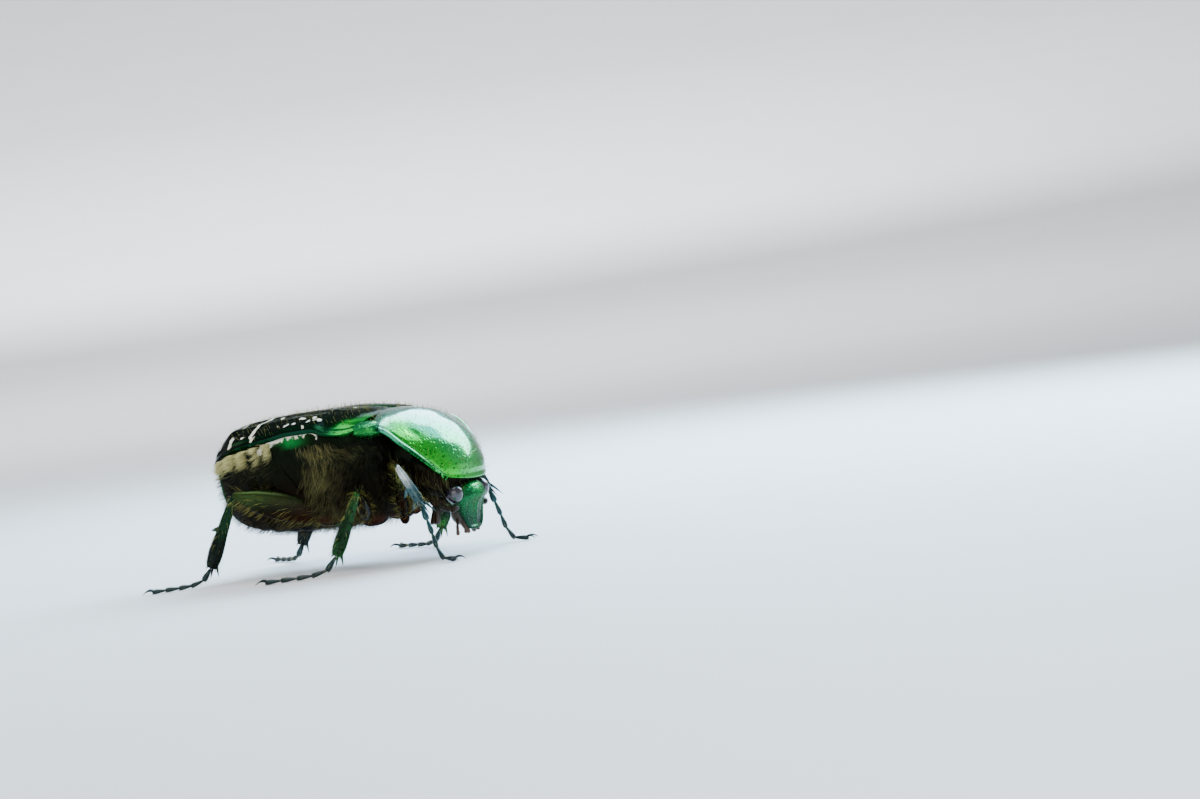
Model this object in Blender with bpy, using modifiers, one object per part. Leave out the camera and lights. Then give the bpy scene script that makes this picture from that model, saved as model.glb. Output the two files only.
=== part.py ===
"""A green rose chafer (Cetonia aurata), life size, standing on its six feet.

The beetle faces +X, its left side is +Y and the floor is z = 0. All sizes here are in
millimetres, and the last step scales every mesh to metres.
"""

import bisect
import math

import bmesh
import bpy
from mathutils import Matrix, Vector

MILLIMETRE = 0.001

# Gap between neighbouring pieces, and the thickness of the shell plates.
GAP = 0.3
SHELL = 0.5
MERGE_DISTANCE = 0.00001

# Moves the beetle forward so that the origin is under the middle of its feet and body.
FORWARD_SHIFT = 0.86

# Wing case outline: places along the body, then half width, crest height and edge height.
CASE_HALF_WIDTH = [(-8.15, 0.9), (-7.7, 2.1), (-7.0, 3.0), (-6.0, 3.7), (-4.6, 4.15),
                   (-2.8, 4.35), (-1.0, 4.4), (0.4, 4.6), (1.5, 4.75), (2.5, 4.55), (3.2, 3.9)]
CASE_CREST = [(-8.15, 6.75), (-7.9, 7.3), (-7.3, 8.1), (-6.4, 8.6), (-5.2, 8.9), (-3.0, 9.1),
              (0.2, 9.15), (1.8, 8.98), (3.2, 8.75)]
CASE_EDGE = [(-8.15, 6.6), (-7.2, 7.05), (-5.4, 7.6), (-4.0, 7.85), (-2.6, 8.05), (-1.4, 8.25),
             (0.3, 8.3), (1.3, 7.95), (2.2, 7.8), (3.2, 8.0)]
CASE_BASE_X = 3.2
CASE_APEX_X = -8.15
CASE_FLATNESS = 2.8
SHOULDER_SETBACK = 0.6
CASE_GRID = (24, 7)

# Scutellum: the small triangle between the wing cases.
SCUTELLUM_TIP_X = 1.0
SCUTELLUM_HALF_WIDTH = 0.95
SCUTELLUM_TIP_HALF_WIDTH = 0.25
SCUTELLUM_DROP = 0.04
SCUTELLUM_GRID = (4, 2)

# Trunk: belly height along the body. Its top and sides follow the wing cases.
BELLY = [(-7.95, 4.1), (-7.2, 3.1), (-6.0, 2.55), (-4.0, 2.3), (-1.0, 2.2), (1.0, 2.5),
         (2.6, 2.9), (3.8, 3.5), (4.6, 4.6)]
TRUNK_REAR_X = -7.95
TRUNK_FRONT_X = 4.6
TRUNK_SIDE_DROP = 0.55
TRUNK_INSET = 0.2
TRUNK_REAR_ROUNDING = 0.9
TRUNK_FRONT_ROUNDING = 1.6
TRUNK_TOP_DROP = SHELL + GAP + 0.05
TRUNK_TOP_SQUARENESS = 0.45
TRUNK_BELLY_SQUARENESS = 0.8

# Pronotum: crest line and side edge, each as (share of its length, x, z), and half width.
PRONOTUM_CREST = [(0.0, 3.45, 8.72), (0.2, 4.6, 8.5), (0.4, 5.8, 7.95), (0.6, 6.95, 7.15),
                  (0.78, 7.7, 6.1), (0.9, 8.05, 5.1), (1.0, 8.1, 4.25)]
PRONOTUM_EDGE = [(0.0, 4.35, 8.15), (0.15, 4.9, 7.7), (0.4, 5.8, 6.75), (0.7, 6.7, 5.6),
                 (1.0, 7.35, 4.55)]
PRONOTUM_FLATNESS = 2.2
PRONOTUM_GRID = (14, 16)
PRONOTUM_HALF_WIDTH = [(0.0, 3.9), (0.12, 4.25), (0.3, 4.2), (0.6, 3.6), (0.85, 2.85), (1.0, 2.3)]

# Pieces that lie between the plates: the shoulder plate and the fore part of the chest.
MESEPIMERON_CENTRE = (3.35, -3.4, 7.85)
MESEPIMERON_RADII = (1.12, 1.1, 0.62)
MESEPIMERON_SQUARENESS = 0.85
PROTHORAX_CENTRE = (5.95, 0, 5.3)
PROTHORAX_RADII = (2.25, 3.15, 1.75)
PROTHORAX_TILT = math.radians(50)
FORE_COXA = ((5.0, -1.1, 4.3), (4.45, -1.55, 2.95))
FORE_COXA_RADIUS = 0.7

# Cuts that part the trunk: the slanting groove behind the hind hips, and the tail plate.
GROOVE_POINT = (-1.6, 0, 5.0)
GROOVE_NORMAL = (-5.0, 0, -2.6)
TAIL_POINT = (-7.1, 0, 5.0)
TAIL_NORMAL = (-1.0, 0, -0.12)

# Head: from the crown down to the front edge of the face.
HEAD_TOP = (7.1, 0, 4.1)
HEAD_TIP = (7.5, 0, 1.35)
HEAD_HALF_WIDTH = [(0.0, 1.4), (0.3, 1.5), (0.55, 1.22), (1.0, 1.15)]
HEAD_HALF_DEPTH = [(0.0, 1.0), (0.35, 0.95), (0.7, 0.55), (1.0, 0.32)]
EYE_CENTRE = (7.28, -1.66, 3.52)
EYE_RADII = (0.48, 0.44, 0.52)

# Feelers: stalk and three-leaved club. Mouth: a block with its four palps.
FEELER_ROUTE = [(7.45, -1.75, 2.75), (6.95, -2.15, 2.75), (6.55, -2.4, 3.0)]
FEELER_CLUB = [(6.5, -2.42, 3.05), (6.35, -2.6, 2.0)]
FEELER_RADIUS = 0.25
LEAF_SPREAD = 0.22
LEAF_HALF_WIDTH = 0.3
MOUTH_CENTRE = (6.75, 0, 2.35)
MOUTH_RADII = (0.6, 0.95, 0.75)
PALPS = [((6.75, -0.75, 2.0), (6.95, -1.25, 1.05)), ((6.9, -0.3, 1.9), (7.05, -0.45, 0.95))]
PALP_RADIUS = 0.25

# Joints of each leg, right side (-Y), from the hip to the tip of the foot.
LEGS = {
    "fore": dict(hip=(4.15, -2.0, 2.55), knee=(5.15, -3.95, 5.6), ankle=(6.45, -4.1, 3.3),
                 foot=[(6.9, -4.2, 1.9), (7.25, -4.3, 0.5), (7.6, -4.4, 0.2), (8.3, -4.55, 0.16)]),
    "middle": dict(hip=(2.1, -2.6, 2.9), knee=(3.6, -5.9, 4.5), ankle=(1.85, -6.2, 1.1),
                   foot=[(1.2, -6.5, 0.25), (0.2, -6.95, 0.17), (-0.9, -7.4, 0.17),
                         (-1.9, -7.8, 0.16)]),
    "hind": dict(hip=(-0.4, -2.6, 3.2), knee=(-5.0, -4.95, 4.95), ankle=(-7.05, -5.1, 1.05),
                 foot=[(-7.6, -5.4, 0.25), (-8.4, -5.9, 0.17), (-9.2, -6.4, 0.17),
                       (-10.0, -6.85, 0.16)]),
}
FEMUR_HALF_WIDTH = {"fore": 0.55, "middle": 0.62, "hind": 0.8}
TIBIA_HALF_WIDTH = {"fore": 0.34, "middle": 0.34, "hind": 0.4}
# Half width along a thigh and along a shin, as shares of its length and of its half width.
FEMUR_PROFILE = [(0, 0.75), (0.35, 1), (0.75, 0.8), (1, 0.6)]
FEMUR_FLATTEN = 0.7
TIBIA_PROFILE = [(0, 0.75), (0.5, 0.95), (0.85, 1.25), (1, 1.25)]
TIBIA_FLATTEN = 0.85
KNEE_OVERLAP = 0.15
# Teeth on the outer edge of each shin, as shares of its length.
TIBIA_TEETH = {"fore": (0.62, 0.92), "middle": (0.55,), "hind": (0.5,)}
TOOTH_LENGTH = 0.45
TOOTH_SLANT = 0.25
TOOTH_RADIUS = 0.2
SPUR_PLACE = 0.93
SPUR_LENGTH = 0.8
SPUR_SLANT = 0.25
SPUR_RADIUS = 0.13
FOOT_SEGMENTS = 5
FOOT_RADIUS = 0.26
CLAW_LENGTH = 0.7
CLAW_RADIUS = 0.13
CLAW_SPREAD = 0.32
CLAW_TIP_HEIGHT = 0.12
CLAW_BOW = 0.12
SEGMENT_OVERLAP = 0.1

SIDES = (("right", -1), ("left", 1))

BODY_COLOUR = (0.03, 0.28, 0.08)
DARK_COLOUR = (0.02, 0.05, 0.03)
LEG_COLOUR = (0.04, 0.16, 0.06)
EYE_COLOUR = (0.10, 0.08, 0.12)
BELLY_COLOUR = (0.10, 0.06, 0.03)


def clear_scene():
    for thing in list(bpy.data.objects):
        bpy.data.objects.remove(thing, do_unlink=True)


def smooth(points):
    """A smooth curve through a few (place, value) pairs that never swings past them."""
    places = [p[0] for p in points]
    values = [p[1] for p in points]
    steps = [(values[i + 1] - values[i]) / (places[i + 1] - places[i])
             for i in range(len(points) - 1)]
    slopes = [steps[0]]
    for before, after in zip(steps, steps[1:]):
        slopes.append(0.0 if before * after <= 0 else 2 * before * after / (before + after))
    slopes.append(steps[-1])

    def value(place):
        place = min(max(place, places[0]), places[-1])
        i = min(max(bisect.bisect_right(places, place) - 1, 0), len(places) - 2)
        width = places[i + 1] - places[i]
        t = (place - places[i]) / width
        return (values[i] * (1 + 2 * t) * (1 - t) ** 2 + values[i + 1] * t * t * (3 - 2 * t)
                + width * t * (1 - t) * (slopes[i] * (1 - t) - slopes[i + 1] * t))

    return value


case_half_width = smooth(CASE_HALF_WIDTH)
case_crest = smooth(CASE_CREST)
case_edge = smooth(CASE_EDGE)
belly = smooth(BELLY)
pronotum_crest_x = smooth([(p[0], p[1]) for p in PRONOTUM_CREST])
pronotum_crest_z = smooth([(p[0], p[2]) for p in PRONOTUM_CREST])
pronotum_edge_x = smooth([(p[0], p[1]) for p in PRONOTUM_EDGE])
pronotum_edge_z = smooth([(p[0], p[2]) for p in PRONOTUM_EDGE])
pronotum_half_width = smooth(PRONOTUM_HALF_WIDTH)


def material(name, colour, roughness, metallic):
    made = bpy.data.materials.new(name)
    made.use_nodes = True
    shader = made.node_tree.nodes["Principled BSDF"]
    shader.inputs["Base Color"].default_value = (*colour, 1.0)
    shader.inputs["Roughness"].default_value = roughness
    shader.inputs["Metallic"].default_value = metallic
    return made


def new_object(name, mesh_data, where):
    made = bpy.data.objects.new(name, mesh_data)
    where.objects.link(made)
    return made


def object_from(name, shape, where):
    bmesh.ops.recalc_face_normals(shape, faces=shape.faces)
    data = bpy.data.meshes.new(name)
    shape.to_mesh(data)
    shape.free()
    return new_object(name, data, where)


def evaluated_copy(piece):
    """The piece's mesh with its modifiers applied, keeping only its largest closed surface."""
    bpy.context.view_layer.update()
    graph = bpy.context.evaluated_depsgraph_get()
    shape = bmesh.new()
    shape.from_mesh(bpy.data.meshes.new_from_object(piece.evaluated_get(graph)))
    bmesh.ops.remove_doubles(shape, verts=shape.verts, dist=MERGE_DISTANCE)
    bmesh.ops.dissolve_degenerate(shape, edges=shape.edges, dist=MERGE_DISTANCE)
    keep_largest(shape)
    return shape


def keep_largest(shape):
    unseen = set(shape.faces)
    largest = []
    while unseen:
        island = [unseen.pop()]
        for face in island:
            for edge in face.edges:
                for other in edge.link_faces:
                    if other in unseen:
                        unseen.discard(other)
                        island.append(other)
        if sum(f.calc_area() for f in island) > sum(f.calc_area() for f in largest):
            largest = island
    kept = set(largest)
    bmesh.ops.delete(shape, geom=[f for f in shape.faces if f not in kept], context="FACES")


def apply_modifiers(piece):
    shape = evaluated_copy(piece)
    if shape.calc_volume(signed=True) < 0:
        bmesh.ops.reverse_faces(shape, faces=shape.faces)
    piece.modifiers.clear()
    shape.to_mesh(piece.data)
    shape.free()


def grown_copy(piece, distance, where):
    """A copy of the piece with its surface moved outwards, used to cut a gap round it."""
    shape = bmesh.new()
    shape.from_mesh(piece.data)
    shape.normal_update()
    moves = [(v, v.normal * (distance * v.calc_shell_factor())) for v in shape.verts]
    for vertex, move in moves:
        if move.length > 2 * distance:
            move = move * (2 * distance / move.length)
        vertex.co += move
    return object_from(piece.name + "_cutter", shape, where)


def cut(piece, neighbours, cutters, distance=GAP):
    """Cuts the piece back until it keeps the gap to each neighbour."""
    for neighbour in neighbours:
        cutter = grown_copy(neighbour, distance, cutters)
        cutter.hide_render = True
        cutter.display_type = "WIRE"
        boolean = piece.modifiers.new("gap", "BOOLEAN")
        boolean.operation = "DIFFERENCE"
        boolean.solver = "MANIFOLD"
        boolean.object = cutter
        apply_modifiers(piece)
        bpy.data.objects.remove(cutter, do_unlink=True)


def fuse(name, pieces, where):
    """Joins closed pieces into one body."""
    group = bpy.data.collections.new(name + "_pieces")
    bpy.context.scene.collection.children.link(group)
    first, others = pieces[0], pieces[1:]
    for piece in others:
        for old in list(piece.users_collection):
            old.objects.unlink(piece)
        group.objects.link(piece)
    union = first.modifiers.new("fuse", "BOOLEAN")
    union.operation = "UNION"
    union.solver = "EXACT"
    union.operand_type = "COLLECTION"
    union.collection = group
    apply_modifiers(first)
    for piece in others:
        bpy.data.objects.remove(piece, do_unlink=True)
    bpy.data.collections.remove(group)
    first.name = name
    return first


def mapped_sphere(name, around, along, place, where):
    """A sphere whose points go where place(t, angle) says, with t from 0 to 1 between its poles."""
    shape = bmesh.new()
    bmesh.ops.create_uvsphere(shape, u_segments=around, v_segments=along, radius=1)
    for vertex in shape.verts:
        t = math.acos(max(-1.0, min(1.0, vertex.co.z))) / math.pi
        vertex.co = place(t, math.atan2(vertex.co.y, vertex.co.x))
    return object_from(name, shape, where)


def mapped_shell(name, grid, place, thickness, where):
    """A sheet whose points go where place(u, v) says, given a wall on its inner side."""
    shape = bmesh.new()
    bmesh.ops.create_grid(shape, x_segments=grid[0], y_segments=grid[1], size=0.5)
    for vertex in shape.verts:
        vertex.co = place(vertex.co.x + 0.5, vertex.co.y + 0.5)
    shape.normal_update()
    if sum(face.normal.z for face in shape.faces) < 0:
        bmesh.ops.reverse_faces(shape, faces=shape.faces)
    data = bpy.data.meshes.new(name)
    shape.to_mesh(data)
    shape.free()
    piece = new_object(name, data, where)
    wall = piece.modifiers.new("wall", "SOLIDIFY")
    wall.thickness = thickness
    wall.offset = -1
    wall.use_even_offset = True
    apply_modifiers(piece)
    return piece


def signed_power(value, power):
    return math.copysign(abs(value) ** power, value)


def case_point(u, v, side):
    """A point of one wing case: u from base to tip, v from the seam to the outer edge."""
    base = CASE_BASE_X - SHOULDER_SETBACK * v * v
    x = base + (CASE_APEX_X - base) * (1 - (1 - u) ** 1.2)
    inner = GAP / 2
    if x > SCUTELLUM_TIP_X:
        inner = scutellum_half_width(x) + GAP
    y = inner + v * (case_half_width(x) - inner)
    z = case_crest(x) - (case_crest(x) - case_edge(x)) * v ** CASE_FLATNESS
    return Vector((x, side * y, z))


def scutellum_half_width(x):
    share = (x - SCUTELLUM_TIP_X) / (CASE_BASE_X - SCUTELLUM_TIP_X)
    return SCUTELLUM_TIP_HALF_WIDTH * (1 - share) + SCUTELLUM_HALF_WIDTH * share


def scutellum_point(u, v):
    x = CASE_BASE_X - 0.05 + (SCUTELLUM_TIP_X + GAP - CASE_BASE_X) * u
    return Vector((x, (2 * v - 1) * scutellum_half_width(x), case_crest(x) - SCUTELLUM_DROP))


def build_case(name, side, where):
    return mapped_shell(name, CASE_GRID, lambda u, v: case_point(u, v, side), SHELL, where)


def trunk_point(t, angle):
    """A point of the trunk: t from the tail to the front, angle round the body."""
    x = TRUNK_REAR_X + (TRUNK_FRONT_X - TRUNK_REAR_X) * (1 - math.cos(math.pi * t)) / 2
    ends = min(1.0, (x - TRUNK_REAR_X) / TRUNK_REAR_ROUNDING,
               (TRUNK_FRONT_X - x) / TRUNK_FRONT_ROUNDING)
    ends = math.sqrt(max(0.0, ends * (2 - ends)))
    half_width = (case_half_width(x) - TRUNK_INSET) * ends
    side_height = case_edge(x) - TRUNK_SIDE_DROP
    top = case_crest(x) - TRUNK_TOP_DROP
    across, up = math.cos(angle), math.sin(angle)
    squareness = TRUNK_TOP_SQUARENESS if up >= 0 else TRUNK_BELLY_SQUARENESS
    y = half_width * signed_power(across, squareness)
    if up >= 0:
        z = side_height + (top - side_height) * ends * up ** 0.9
    else:
        z = side_height - (side_height - belly(x)) * ends * (-up) ** 0.9
    return Vector((x, y, z))


def half_of(piece, name, point, normal, where):
    """The part of a closed piece on the side of a plane that the normal points away from."""
    shape = bmesh.new()
    shape.from_mesh(piece.data)
    geometry = shape.verts[:] + shape.edges[:] + shape.faces[:]
    cut_edges = bmesh.ops.bisect_plane(shape, geom=geometry, plane_co=point, plane_no=normal,
                                       clear_outer=True)["geom_cut"]
    edges = [e for e in cut_edges if isinstance(e, bmesh.types.BMEdge)]
    bmesh.ops.edgeloop_fill(shape, edges=edges)
    bmesh.ops.triangulate(shape, faces=shape.faces)
    return object_from(name, shape, where)


def pronotum_point(u, v):
    """A point of the pronotum: u from base to front, v from -1 to 1 across."""
    crest = Vector((pronotum_crest_x(u), 0, pronotum_crest_z(u)))
    edge = Vector((pronotum_edge_x(u), 0, pronotum_edge_z(u)))
    point = crest + (edge - crest) * abs(v) ** PRONOTUM_FLATNESS
    point.y = v * pronotum_half_width(u)
    return point


def build_pronotum(where):
    return mapped_shell("pronotum", PRONOTUM_GRID, lambda u, v: pronotum_point(u, 2 * v - 1),
                        SHELL, where)


def ellipsoid(name, centre, radii, tilt, where, around=14, along=9, power=1.0):
    """A rounded body; tilt turns it about the sideways axis, nose down when positive."""
    turn = Matrix.Rotation(tilt, 3, "Y")

    def place(t, angle):
        ring = math.sin(math.pi * t) ** power
        local = Vector((radii[0] * signed_power(math.cos(math.pi * t), power),
                        radii[1] * ring * signed_power(math.cos(angle), power),
                        radii[2] * ring * signed_power(math.sin(angle), power)))
        return Vector(centre) + turn @ local

    return mapped_sphere(name, around, along, place, where)


def limb(name, start, end, profile, where, flatten=1.0, side=(0, 0, 1), around=8, along=7,
         bow=(0, 0, 0)):
    """A limb from start to end; profile(t) is its half width, flatten its depth over its width."""
    start, end, bow = Vector(start), Vector(end), Vector(bow)
    axis = (end - start).normalized()
    wide = Vector(side) - axis * Vector(side).dot(axis)
    wide.normalize()
    deep = axis.cross(wide)

    def place(t, angle):
        s = (1 - math.cos(math.pi * t)) / 2
        radius = profile(s) * math.sin(math.pi * t) ** 0.6
        return (start + (end - start) * s + bow * (4 * s * (1 - s))
                + wide * (radius * math.cos(angle)) + deep * (radius * flatten * math.sin(angle)))

    return mapped_sphere(name, around, along, place, where)


def spike(start, end, radius, where, bow=(0, 0, 0)):
    """A thin tapered horn, for claws, spurs and teeth."""
    return limb("spike", start, end, lambda s: radius * (1 - 0.75 * s), where, around=6, along=5,
                bow=bow)


def mirrored(point, side):
    return Vector((point[0], -side * point[1], point[2]))


def toward(start, end, distance):
    start, end = Vector(start), Vector(end)
    return start + (end - start).normalized() * distance


def between(start, end, share):
    return Vector(start).lerp(Vector(end), share)


def build_head(where):
    half_width, half_depth = smooth(HEAD_HALF_WIDTH), smooth(HEAD_HALF_DEPTH)
    top, tip = Vector(HEAD_TOP), Vector(HEAD_TIP)
    axis = (tip - top).normalized()
    across = Vector((0, 1, 0))
    front = axis.cross(across)

    def place(t, angle):
        s = (1 - math.cos(math.pi * t)) / 2
        ring = math.sin(math.pi * t) ** 0.55
        return (top + (tip - top) * s
                + across * (half_width(s) * ring * signed_power(math.cos(angle), 0.8))
                + front * (half_depth(s) * ring * signed_power(math.sin(angle), 0.9)))

    return mapped_sphere("head", 20, 13, place, where)


def build_feeler(label, side, where):
    route = [mirrored(p, side) for p in FEELER_ROUTE]
    pieces = []
    for a, b in zip(route, route[1:]):
        reach = (b - a).length + SEGMENT_OVERLAP
        pieces.append(limb("feeler", toward(b, a, reach), toward(a, b, reach),
                           lambda s: FEELER_RADIUS, where, along=6))
    club = [mirrored(p, side) for p in FEELER_CLUB]
    for spread in (-LEAF_SPREAD, 0.0, LEAF_SPREAD):
        shift = Vector((spread, 0, 0))
        pieces.append(limb("leaf", club[0] + shift * 0.5, club[1] + shift,
                           lambda s: LEAF_HALF_WIDTH, where, flatten=0.5, side=(0, 1, 0), along=6))
    return fuse(f"antenna_{label}", pieces, where)


def build_mouth(where):
    pieces = [ellipsoid("mouth", MOUTH_CENTRE, MOUTH_RADII, 0, where)]
    for side in (-1, 1):
        for start, end in PALPS:
            pieces.append(limb("palp", mirrored(start, side), mirrored(end, side),
                               lambda s: PALP_RADIUS, where, along=6))
    return fuse("mouthparts", pieces, where)


def build_tibia(which, label, leg, where):
    wide = TIBIA_HALF_WIDTH[which]
    profile = smooth([(share, factor * wide) for share, factor in TIBIA_PROFILE])
    start, end = toward(leg["knee"], leg["ankle"], KNEE_OVERLAP), leg["ankle"]
    pieces = [limb("shin", start, end, profile, where, TIBIA_FLATTEN, side=(1, 0, 0))]
    axis = (end - start).normalized()
    back = Vector((-1, 0, 0)) + axis * axis.x
    back.normalize()
    for share in TIBIA_TEETH[which]:
        root = between(start, end, share) + back * (0.5 * wide)
        pieces.append(spike(root, root + back * TOOTH_LENGTH + axis * TOOTH_SLANT,
                            TOOTH_RADIUS, where))
    for turn in (-0.5, 0.5):
        root = between(start, end, SPUR_PLACE) - back * (0.4 * wide) + Vector((0, turn * wide, 0))
        tip = root + axis * SPUR_LENGTH + Vector((SPUR_SLANT, turn * 0.5, 0))
        pieces.append(spike(root, tip, SPUR_RADIUS, where))
    return fuse(f"tibia_{which}_{label}", pieces, where)


def point_along(route, distance):
    for a, b in zip(route, route[1:]):
        if distance <= (b - a).length or b is route[-1]:
            return toward(a, b, distance)
        distance -= (b - a).length


def build_tarsus(which, label, leg, where):
    route = [toward(leg["ankle"], leg["foot"][0], GAP + 0.05)] + leg["foot"]
    length = sum((b - a).length for a, b in zip(route, route[1:])) / FOOT_SEGMENTS
    pieces = []
    for i in range(FOOT_SEGMENTS):
        start = point_along(route, length * i)
        end = toward(start, point_along(route, length * (i + 1)), length + SEGMENT_OVERLAP)
        pieces.append(limb("foot_segment", start, end, lambda s: FOOT_RADIUS * (0.8 + 0.25 * s),
                           where, along=6))
    tip, ahead = route[-1], (route[-1] - route[-2]).normalized()
    across = Vector((-ahead.y, ahead.x, 0)).normalized()
    for turn in (-1, 1):
        root = tip + across * (turn * 0.08) - ahead * 0.1
        end = tip + ahead * CLAW_LENGTH + across * (turn * CLAW_SPREAD)
        end.z = CLAW_TIP_HEIGHT
        pieces.append(spike(root, end, CLAW_RADIUS, where, bow=(0, 0, CLAW_BOW)))
    tarsus = fuse(f"tarsus_{which}_{label}", pieces, where)
    flatten_sole(tarsus)
    return tarsus


def build_femur(which, label, leg, where):
    wide = FEMUR_HALF_WIDTH[which]
    profile = smooth([(share, factor * wide) for share, factor in FEMUR_PROFILE])
    return limb(f"femur_{which}_{label}", leg["hip"], leg["knee"], profile, where, FEMUR_FLATTEN)


def flatten_sole(piece):
    """Cuts the piece flat at the floor."""
    shape = bmesh.new()
    shape.from_mesh(piece.data)
    geometry = shape.verts[:] + shape.edges[:] + shape.faces[:]
    found = bmesh.ops.bisect_plane(shape, geom=geometry, plane_co=(0, 0, 0), plane_no=(0, 0, -1),
                                   clear_outer=True)["geom_cut"]
    bmesh.ops.holes_fill(shape, edges=[e for e in found if isinstance(e, bmesh.types.BMEdge)])
    bmesh.ops.triangulate(shape, faces=shape.faces)
    bmesh.ops.recalc_face_normals(shape, faces=shape.faces)
    shape.to_mesh(piece.data)
    shape.free()


def build_trunk(where):
    """Thorax, abdomen and tail plate, parted from one trunk by thin cuts."""
    trunk = mapped_sphere("trunk", 24, 22, trunk_point, where)
    backward = Vector(GROOVE_NORMAL).normalized()
    tailward = Vector(TAIL_NORMAL).normalized()
    half_gap = GAP / 2
    groove, joint = Vector(GROOVE_POINT), Vector(TAIL_POINT)
    thorax = half_of(trunk, "pterothorax", groove - backward * half_gap, backward, where)
    rest = half_of(trunk, "rest", groove + backward * half_gap, -backward, where)
    abdomen = half_of(rest, "abdomen", joint - tailward * half_gap, tailward, where)
    tail = half_of(rest, "pygidium", joint + tailward * half_gap, -tailward, where)
    for piece in (trunk, rest):
        bpy.data.objects.remove(piece, do_unlink=True)
    return thorax, abdomen, tail


def main():
    clear_scene()
    beetle = bpy.data.collections.new("rose_chafer")
    cutters = bpy.data.collections.new("cutters")
    bpy.context.scene.collection.children.link(beetle)
    bpy.context.scene.collection.children.link(cutters)

    cases = [build_case(f"elytron_{label}", side, beetle) for label, side in SIDES]
    scutellum = mapped_shell("scutellum", SCUTELLUM_GRID, scutellum_point, SHELL, beetle)
    pronotum = build_pronotum(beetle)
    cut(scutellum, [pronotum], cutters)
    thorax, abdomen, tail = build_trunk(beetle)
    cut(thorax, cases + [pronotum, scutellum], cutters)
    cut(abdomen, cases, cutters)
    cut(tail, cases, cutters)
    for label, side in SIDES:
        plate = ellipsoid(f"mesepimeron_{label}", mirrored(MESEPIMERON_CENTRE, side),
                          MESEPIMERON_RADII, 0, beetle, 12, 8, MESEPIMERON_SQUARENESS)
        cut(plate, cases + [pronotum, thorax], cutters)

    prothorax = ellipsoid("prothorax", PROTHORAX_CENTRE, PROTHORAX_RADII, PROTHORAX_TILT, beetle,
                          18, 11)
    cut(prothorax, [pronotum, thorax], cutters)
    eyes = [ellipsoid(f"eye_{label}", mirrored(EYE_CENTRE, side), EYE_RADII, 0, beetle, 12, 8)
            for label, side in SIDES]
    cut(prothorax, eyes, cutters)
    head = build_head(beetle)
    cut(head, [pronotum, prothorax] + eyes, cutters)
    mouth = build_mouth(beetle)
    cut(mouth, [head, prothorax], cutters)
    for label, side in SIDES:
        feeler = build_feeler(label, side, beetle)
        cut(feeler, [head, mouth, prothorax], cutters)
        coxa = limb(f"coxa_fore_{label}", mirrored(FORE_COXA[0], side), mirrored(FORE_COXA[1], side),
                    lambda s: FORE_COXA_RADIUS, beetle)
        cut(coxa, [prothorax, thorax], cutters)
        for which, joints in LEGS.items():
            leg = {key: mirrored(value, side) for key, value in joints.items() if key != "foot"}
            leg["foot"] = [mirrored(p, side) for p in joints["foot"]]
            femur = build_femur(which, label, leg, beetle)
            cut(femur, [thorax, abdomen, prothorax, pronotum, coxa], cutters)
            tibia = build_tibia(which, label, leg, beetle)
            cut(tibia, [femur, pronotum], cutters)
            build_tarsus(which, label, leg, beetle)
    bpy.data.collections.remove(cutters)
    finish_materials(beetle)


def finish_materials(beetle):
    """Gives each piece its material and scales it from millimetres to metres."""
    shell = material("green_shell", BODY_COLOUR, 0.3, 0.7)
    dark = material("dark_cuticle", DARK_COLOUR, 0.35, 0.5)
    leg = material("leg_cuticle", LEG_COLOUR, 0.35, 0.6)
    eye = material("eye", EYE_COLOUR, 0.15, 0.0)
    under = material("brown_underside", BELLY_COLOUR, 0.5, 0.2)
    choice = {"eye": eye, "femur": leg, "tibia": leg, "tarsus": dark, "coxa": dark, "antenna": dark,
              "mouthparts": under, "prothorax": dark, "pterothorax": under, "abdomen": under}
    for piece in beetle.objects:
        piece.data.materials.clear()
        piece.data.materials.append(choice.get(piece.name.split("_")[0], shell))
        piece.data.transform(Matrix.Scale(MILLIMETRE, 4)
                             @ Matrix.Translation((FORWARD_SHIFT, 0, 0)))


main()
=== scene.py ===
"""A still, life-size rose chafer: fine shell plates, legs, hair and finishes over the solid model.

The beetle faces +X and the floor is z = 0. Shapes are worked out in millimetres and turned into
metres when each piece is finished.
"""

import bisect
import itertools
import math
import random

import bmesh
import bpy
import numpy as np
from mathutils import Matrix, Vector, noise


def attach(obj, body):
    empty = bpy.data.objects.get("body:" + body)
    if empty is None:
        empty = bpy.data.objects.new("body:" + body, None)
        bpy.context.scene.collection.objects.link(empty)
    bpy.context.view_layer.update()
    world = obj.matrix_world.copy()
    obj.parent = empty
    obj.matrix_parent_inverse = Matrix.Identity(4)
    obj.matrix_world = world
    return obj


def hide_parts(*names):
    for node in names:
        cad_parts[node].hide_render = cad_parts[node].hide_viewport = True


# A fixed seed, so that marks and hair wave the same way in each run.
noise.seed_set(7)

MILLIMETRE = 0.001


def clamped(share):
    return min(max(share, 0.0), 1.0)


def smooth(points, column=1):
    """A smooth curve through a few rows of (place, value) that never swings past them."""
    places = [p[0] for p in points]
    values = [p[column] for p in points]
    steps = [(values[i + 1] - values[i]) / (places[i + 1] - places[i])
             for i in range(len(points) - 1)]
    slopes = [steps[0]]
    for before, after in zip(steps, steps[1:]):
        slopes.append(0.0 if before * after <= 0 else 2 * before * after / (before + after))
    slopes.append(steps[-1])

    def value(place):
        place = min(max(place, places[0]), places[-1])
        i = min(max(bisect.bisect_right(places, place) - 1, 0), len(places) - 2)
        width = places[i + 1] - places[i]
        t = (place - places[i]) / width
        return (values[i] * (1 + 2 * t) * (1 - t) ** 2 + values[i + 1] * t * t * (3 - 2 * t)
                + width * t * (1 - t) * (slopes[i] * (1 - t) - slopes[i + 1] * t))

    return value


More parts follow.
